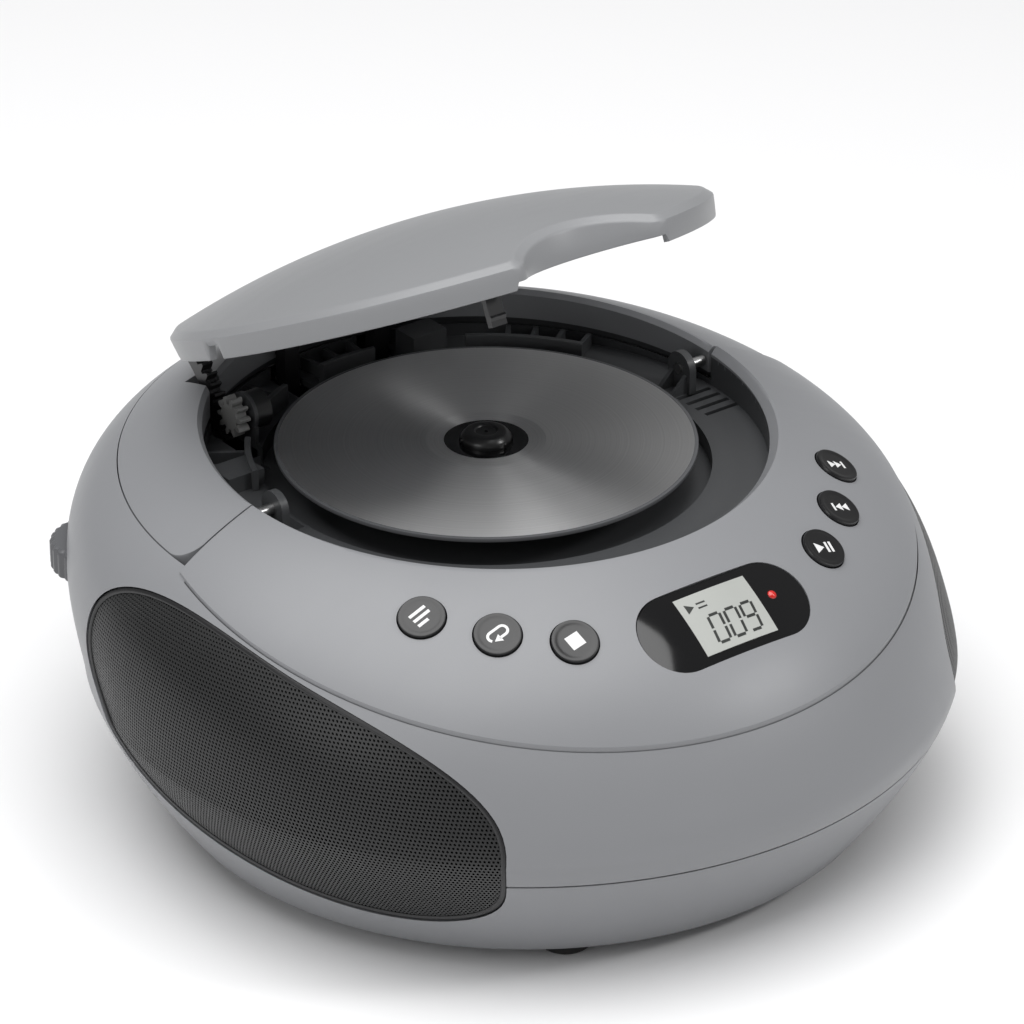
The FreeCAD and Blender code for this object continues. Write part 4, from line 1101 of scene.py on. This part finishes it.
def on_glass(spots, lift=0.0):
    """Points of the window's plane, laid on the panel's curve."""
    spots = np.asarray(spots, float)
    origin, across, over, out = glass_place
    flat = origin + spots[..., :1] * across + spots[..., 1:2] * over
    tops = shell_top(flat[..., 0], flat[..., 1], GLASS_INSET)
    for _ in range(3):
        gap = (tops - flat[..., 2]) * out[2]
        flat = flat + gap[..., None] * out
        tops = shell_top(flat[..., 0], flat[..., 1], GLASS_INSET)
    return flat + lift * out


def patch(name, outline, levels, paint, slot):
    """A thin plate over an outline on the window, from one lift to another."""
    outline = np.asarray(outline, float)
    middle = outline.mean(0)
    loops = [on_glass(outline, levels[0])]
    for share in (1.0, 0.75, 0.5, 0.25):
        loops.append(on_glass(middle + (outline - middle) * share, levels[1]))
    count = len(outline)
    last = (len(loops) - 1) * count
    faces = tube_faces(len(loops), count, closed=False)
    faces += [tuple(range(count)), tuple(range(last, last + count))]
    return make(name, np.concatenate(loops), faces, "case", paint, slot, 40.0)


window_edge = pill_outline(PILL[0] - 0.5, PILL[1] - 0.5)
window = patch("screen_window", window_edge, (-2.4, 0.0), window_paint, "gloss_black")
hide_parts("display_window")


def fine(outline, parts=8):
    """An outline with each side divided, so that it can follow a curve."""
    outline = np.asarray(outline, float)
    after = np.roll(outline, -1, 0)
    return np.concatenate([a + (b - a) * np.linspace(0, 1, parts, endpoint=False)[:, None]
                           for a, b in zip(outline, after)])


SCREEN = (24.4, 18.4)
screen = patch("screen_panel", fine(bar(0, 0, *SCREEN)), (-0.1, 0.05), screen_paint, "lcd")
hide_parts("lcd_glass")
DIGIT, THICK, SLANT = (3.9, 8.4), 0.85, 0.13
ON = {"0": "abcdef", "9": "abcdfg"}


def segments(sign, left, bottom):
    """The lit bars of one figure, leaning a little."""
    wide, tall = DIGIT
    level_bar = (wide - THICK * 1.2, THICK)
    upright = (THICK, tall / 2 - THICK * 0.75)
    places = {"a": (wide / 2, tall, level_bar), "g": (wide / 2, tall / 2, level_bar),
              "d": (wide / 2, 0, level_bar),
              "f": (0, tall * 0.75, upright), "b": (wide, tall * 0.75, upright),
              "e": (0, tall * 0.25, upright), "c": (wide, tall * 0.25, upright)}
    for letter in ON[sign]:
        x, y, size = places[letter]
        yield [(left + px + SLANT * (bottom + py), bottom + py) for px, py in bar(x, y, *size)]


FIGURE_LEFT, FIGURE_STEP, FIGURE_LOW = -5.8, 5.5, -6.9
marks = []
for index, sign in enumerate("009"):
    marks += segments(sign, FIGURE_LEFT + FIGURE_STEP * index, FIGURE_LOW)
marks += [arrow(-8.8, 5.4, 2.6), bar(-5.0, 4.6, 3.0, 0.5), bar(-5.0, 6.0, 3.0, 0.5)]
figure_parts = [loft([on_glass(outline, lift) for lift in (0.04, 0.09)]) for outline in marks]
make("screen_figures", *joined(figure_parts), "case", segment_ink, "black_plastic", 40.0)
lamp_place = (on_glass([(17.0, 1.0)])[0], *glass_place[1:])
lamp_outline = [(0.01, -1.5), (1.35, -1.5), (1.35, 0.15), (0.8, 0.55), (0.01, 0.7)]
lamp_outline = rounded(lamp_outline, {2: 0.3, 3: 0.4})
spots, faces = turned(lamp_outline, 32)
lamp = make("lamp_lens", in_frame(spots, lamp_place), faces, "case", lamp_paint, "red_lamp")
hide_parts("status_led")
print("screen", SCREEN, "mm with", len(figure_parts), "marks")

# %% Volume wheel
def knurled(radius, teeth, depth):
    """A scalloped circle."""
    turns = np.linspace(0, 2 * math.pi, teeth * 8, endpoint=False)
    reach = radius - depth * np.abs(np.sin(turns * teeth / 2)) ** 3
    return np.stack([reach * np.cos(turns), reach * np.sin(turns)], -1)


WHEEL_TEETH = 30
WHEEL_LEVELS = ((64, 13.6, 0.2), (64.5, 14.6, 0.7), (65.2, 15, 1.0), (71.8, 15, 1.0),
                (72.5, 14.6, 0.7), (73, 13.6, 0.2), (73, 9.0, 0.0), (72.4, 8.6, 0.0))
wheel_loops = []
for height, radius, depth in WHEEL_LEVELS:
    flat = knurled(radius, WHEEL_TEETH, depth) + WHEEL_PLACE
    wheel_loops.append(np.column_stack([flat, np.full(len(flat), height)]))
wheel = make("knurled_wheel", *loft(wheel_loops), "volume_dial", ring_paint, "dark_grey", 25.0)
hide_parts("volume_wheel")
print("wheel teeth", WHEEL_TEETH)

# %% Ring wall and ribs behind the disc
RING_IN, RING_OUT, RING_TOP, LEDGE = 66.5, 68.3, 101.6, 95.25


def sector(inner, outer, first, last, bottom, top, steps=24):
    """A curved block between two radii and two angles in degrees."""
    sections = []
    for turn in np.radians(np.linspace(first, last, steps)):
        way = np.array([math.cos(turn), math.sin(turn)])
        low_in, low_out = way * inner + (0, DISC_Y), way * outer + (0, DISC_Y)
        corners = [(*low_in, bottom), (*low_out, bottom), (*low_out, top), (*low_in, top)]
        sections.append(rounded(corners, {2: 0.4, 3: 0.4}))
    return loft(sections)


RING_SPANS = ((28, 58), (112, 124), (142, 160), (82, 98))
ring_parts = [sector(RING_IN, RING_OUT, *span, LEDGE, RING_TOP) for span in RING_SPANS]
ring_parts += [sector(RING_OUT - 0.2, 78.6, turn - 0.5, turn + 0.5, LEDGE, RING_TOP - 2.2, 3)
               for turn in (30, 36, 42, 48, 84, 90, 96, 114, 121, 146, 152, 158)]
make("well_ribs", *joined(ring_parts), "case", well_paint, "dark_grey")
print("well ribs", len(ring_parts))


# %% [markdown]
# ## Finishes of the remaining CAD nodes
# Everything else keeps its CAD shape and gets a finish by what it is made of.

# %% Paint the nodes
NODE_PAINTS = (
    (well_paint, "well_wall disc_well handle_tray handle_brackets hinge_bosses damper_bracket"),
    (black_paint, "lid_hinge_arms lid_sector lid_catch damper_body power_inlet rear_jacks mode_switch "
                  "key_switches volume_potentiometer left_speaker_frame right_speaker_frame board_parts"),
    (inner_paint, "inner_frame mechanism_deck battery_tray optical_sled"),
    (natural_paint, "damper_gear"),
    (case_paint, "battery_door door_latch"),
    (steel_paint, "handle_pins hinge_pin lid_spring spindle_motor sled_rails power_transformer "
                  "battery_contacts case_screws"),
    (rubber_paint, "rubber_feet deck_dampers"),
    (board_paint, "main_board"),
    (paper_paint, "left_speaker_cone right_speaker_cone"),
)
painted = set()
for paint, names in NODE_PAINTS:
    for name in names.split():
        for material_slot in frame["nodes"][name].material_slots:
            material_slot.material = paint
        painted.add(name)
print(len(painted), "nodes painted; hidden ones:", len(set(frame["nodes"]) - painted))


# %% Floor and its finish
floor_mesh = bpy.data.meshes.new("floor")
REACH = 9.0
corners = [(-REACH, -REACH, 0), (REACH, -REACH, 0), (REACH, REACH, 0), (-REACH, REACH, 0)]
floor_mesh.from_pydata(corners, [], [(0, 1, 2, 3)])
floor_paint = Paint("pale floor", (0.86, 0.86, 0.865), 0.6)
floor_cloud = floor_paint.noise(2.0, 2.0)
floor_colour = floor_paint.blend(floor_cloud, (0.855, 0.855, 0.86, 1), (0.865, 0.865, 0.87, 1))
floor_paint.set("Base Color", floor_colour)
floor_mesh.materials.append(floor_paint.material)
floor = bpy.data.objects.new("floor", floor_mesh)
scene.collection.objects.link(floor)
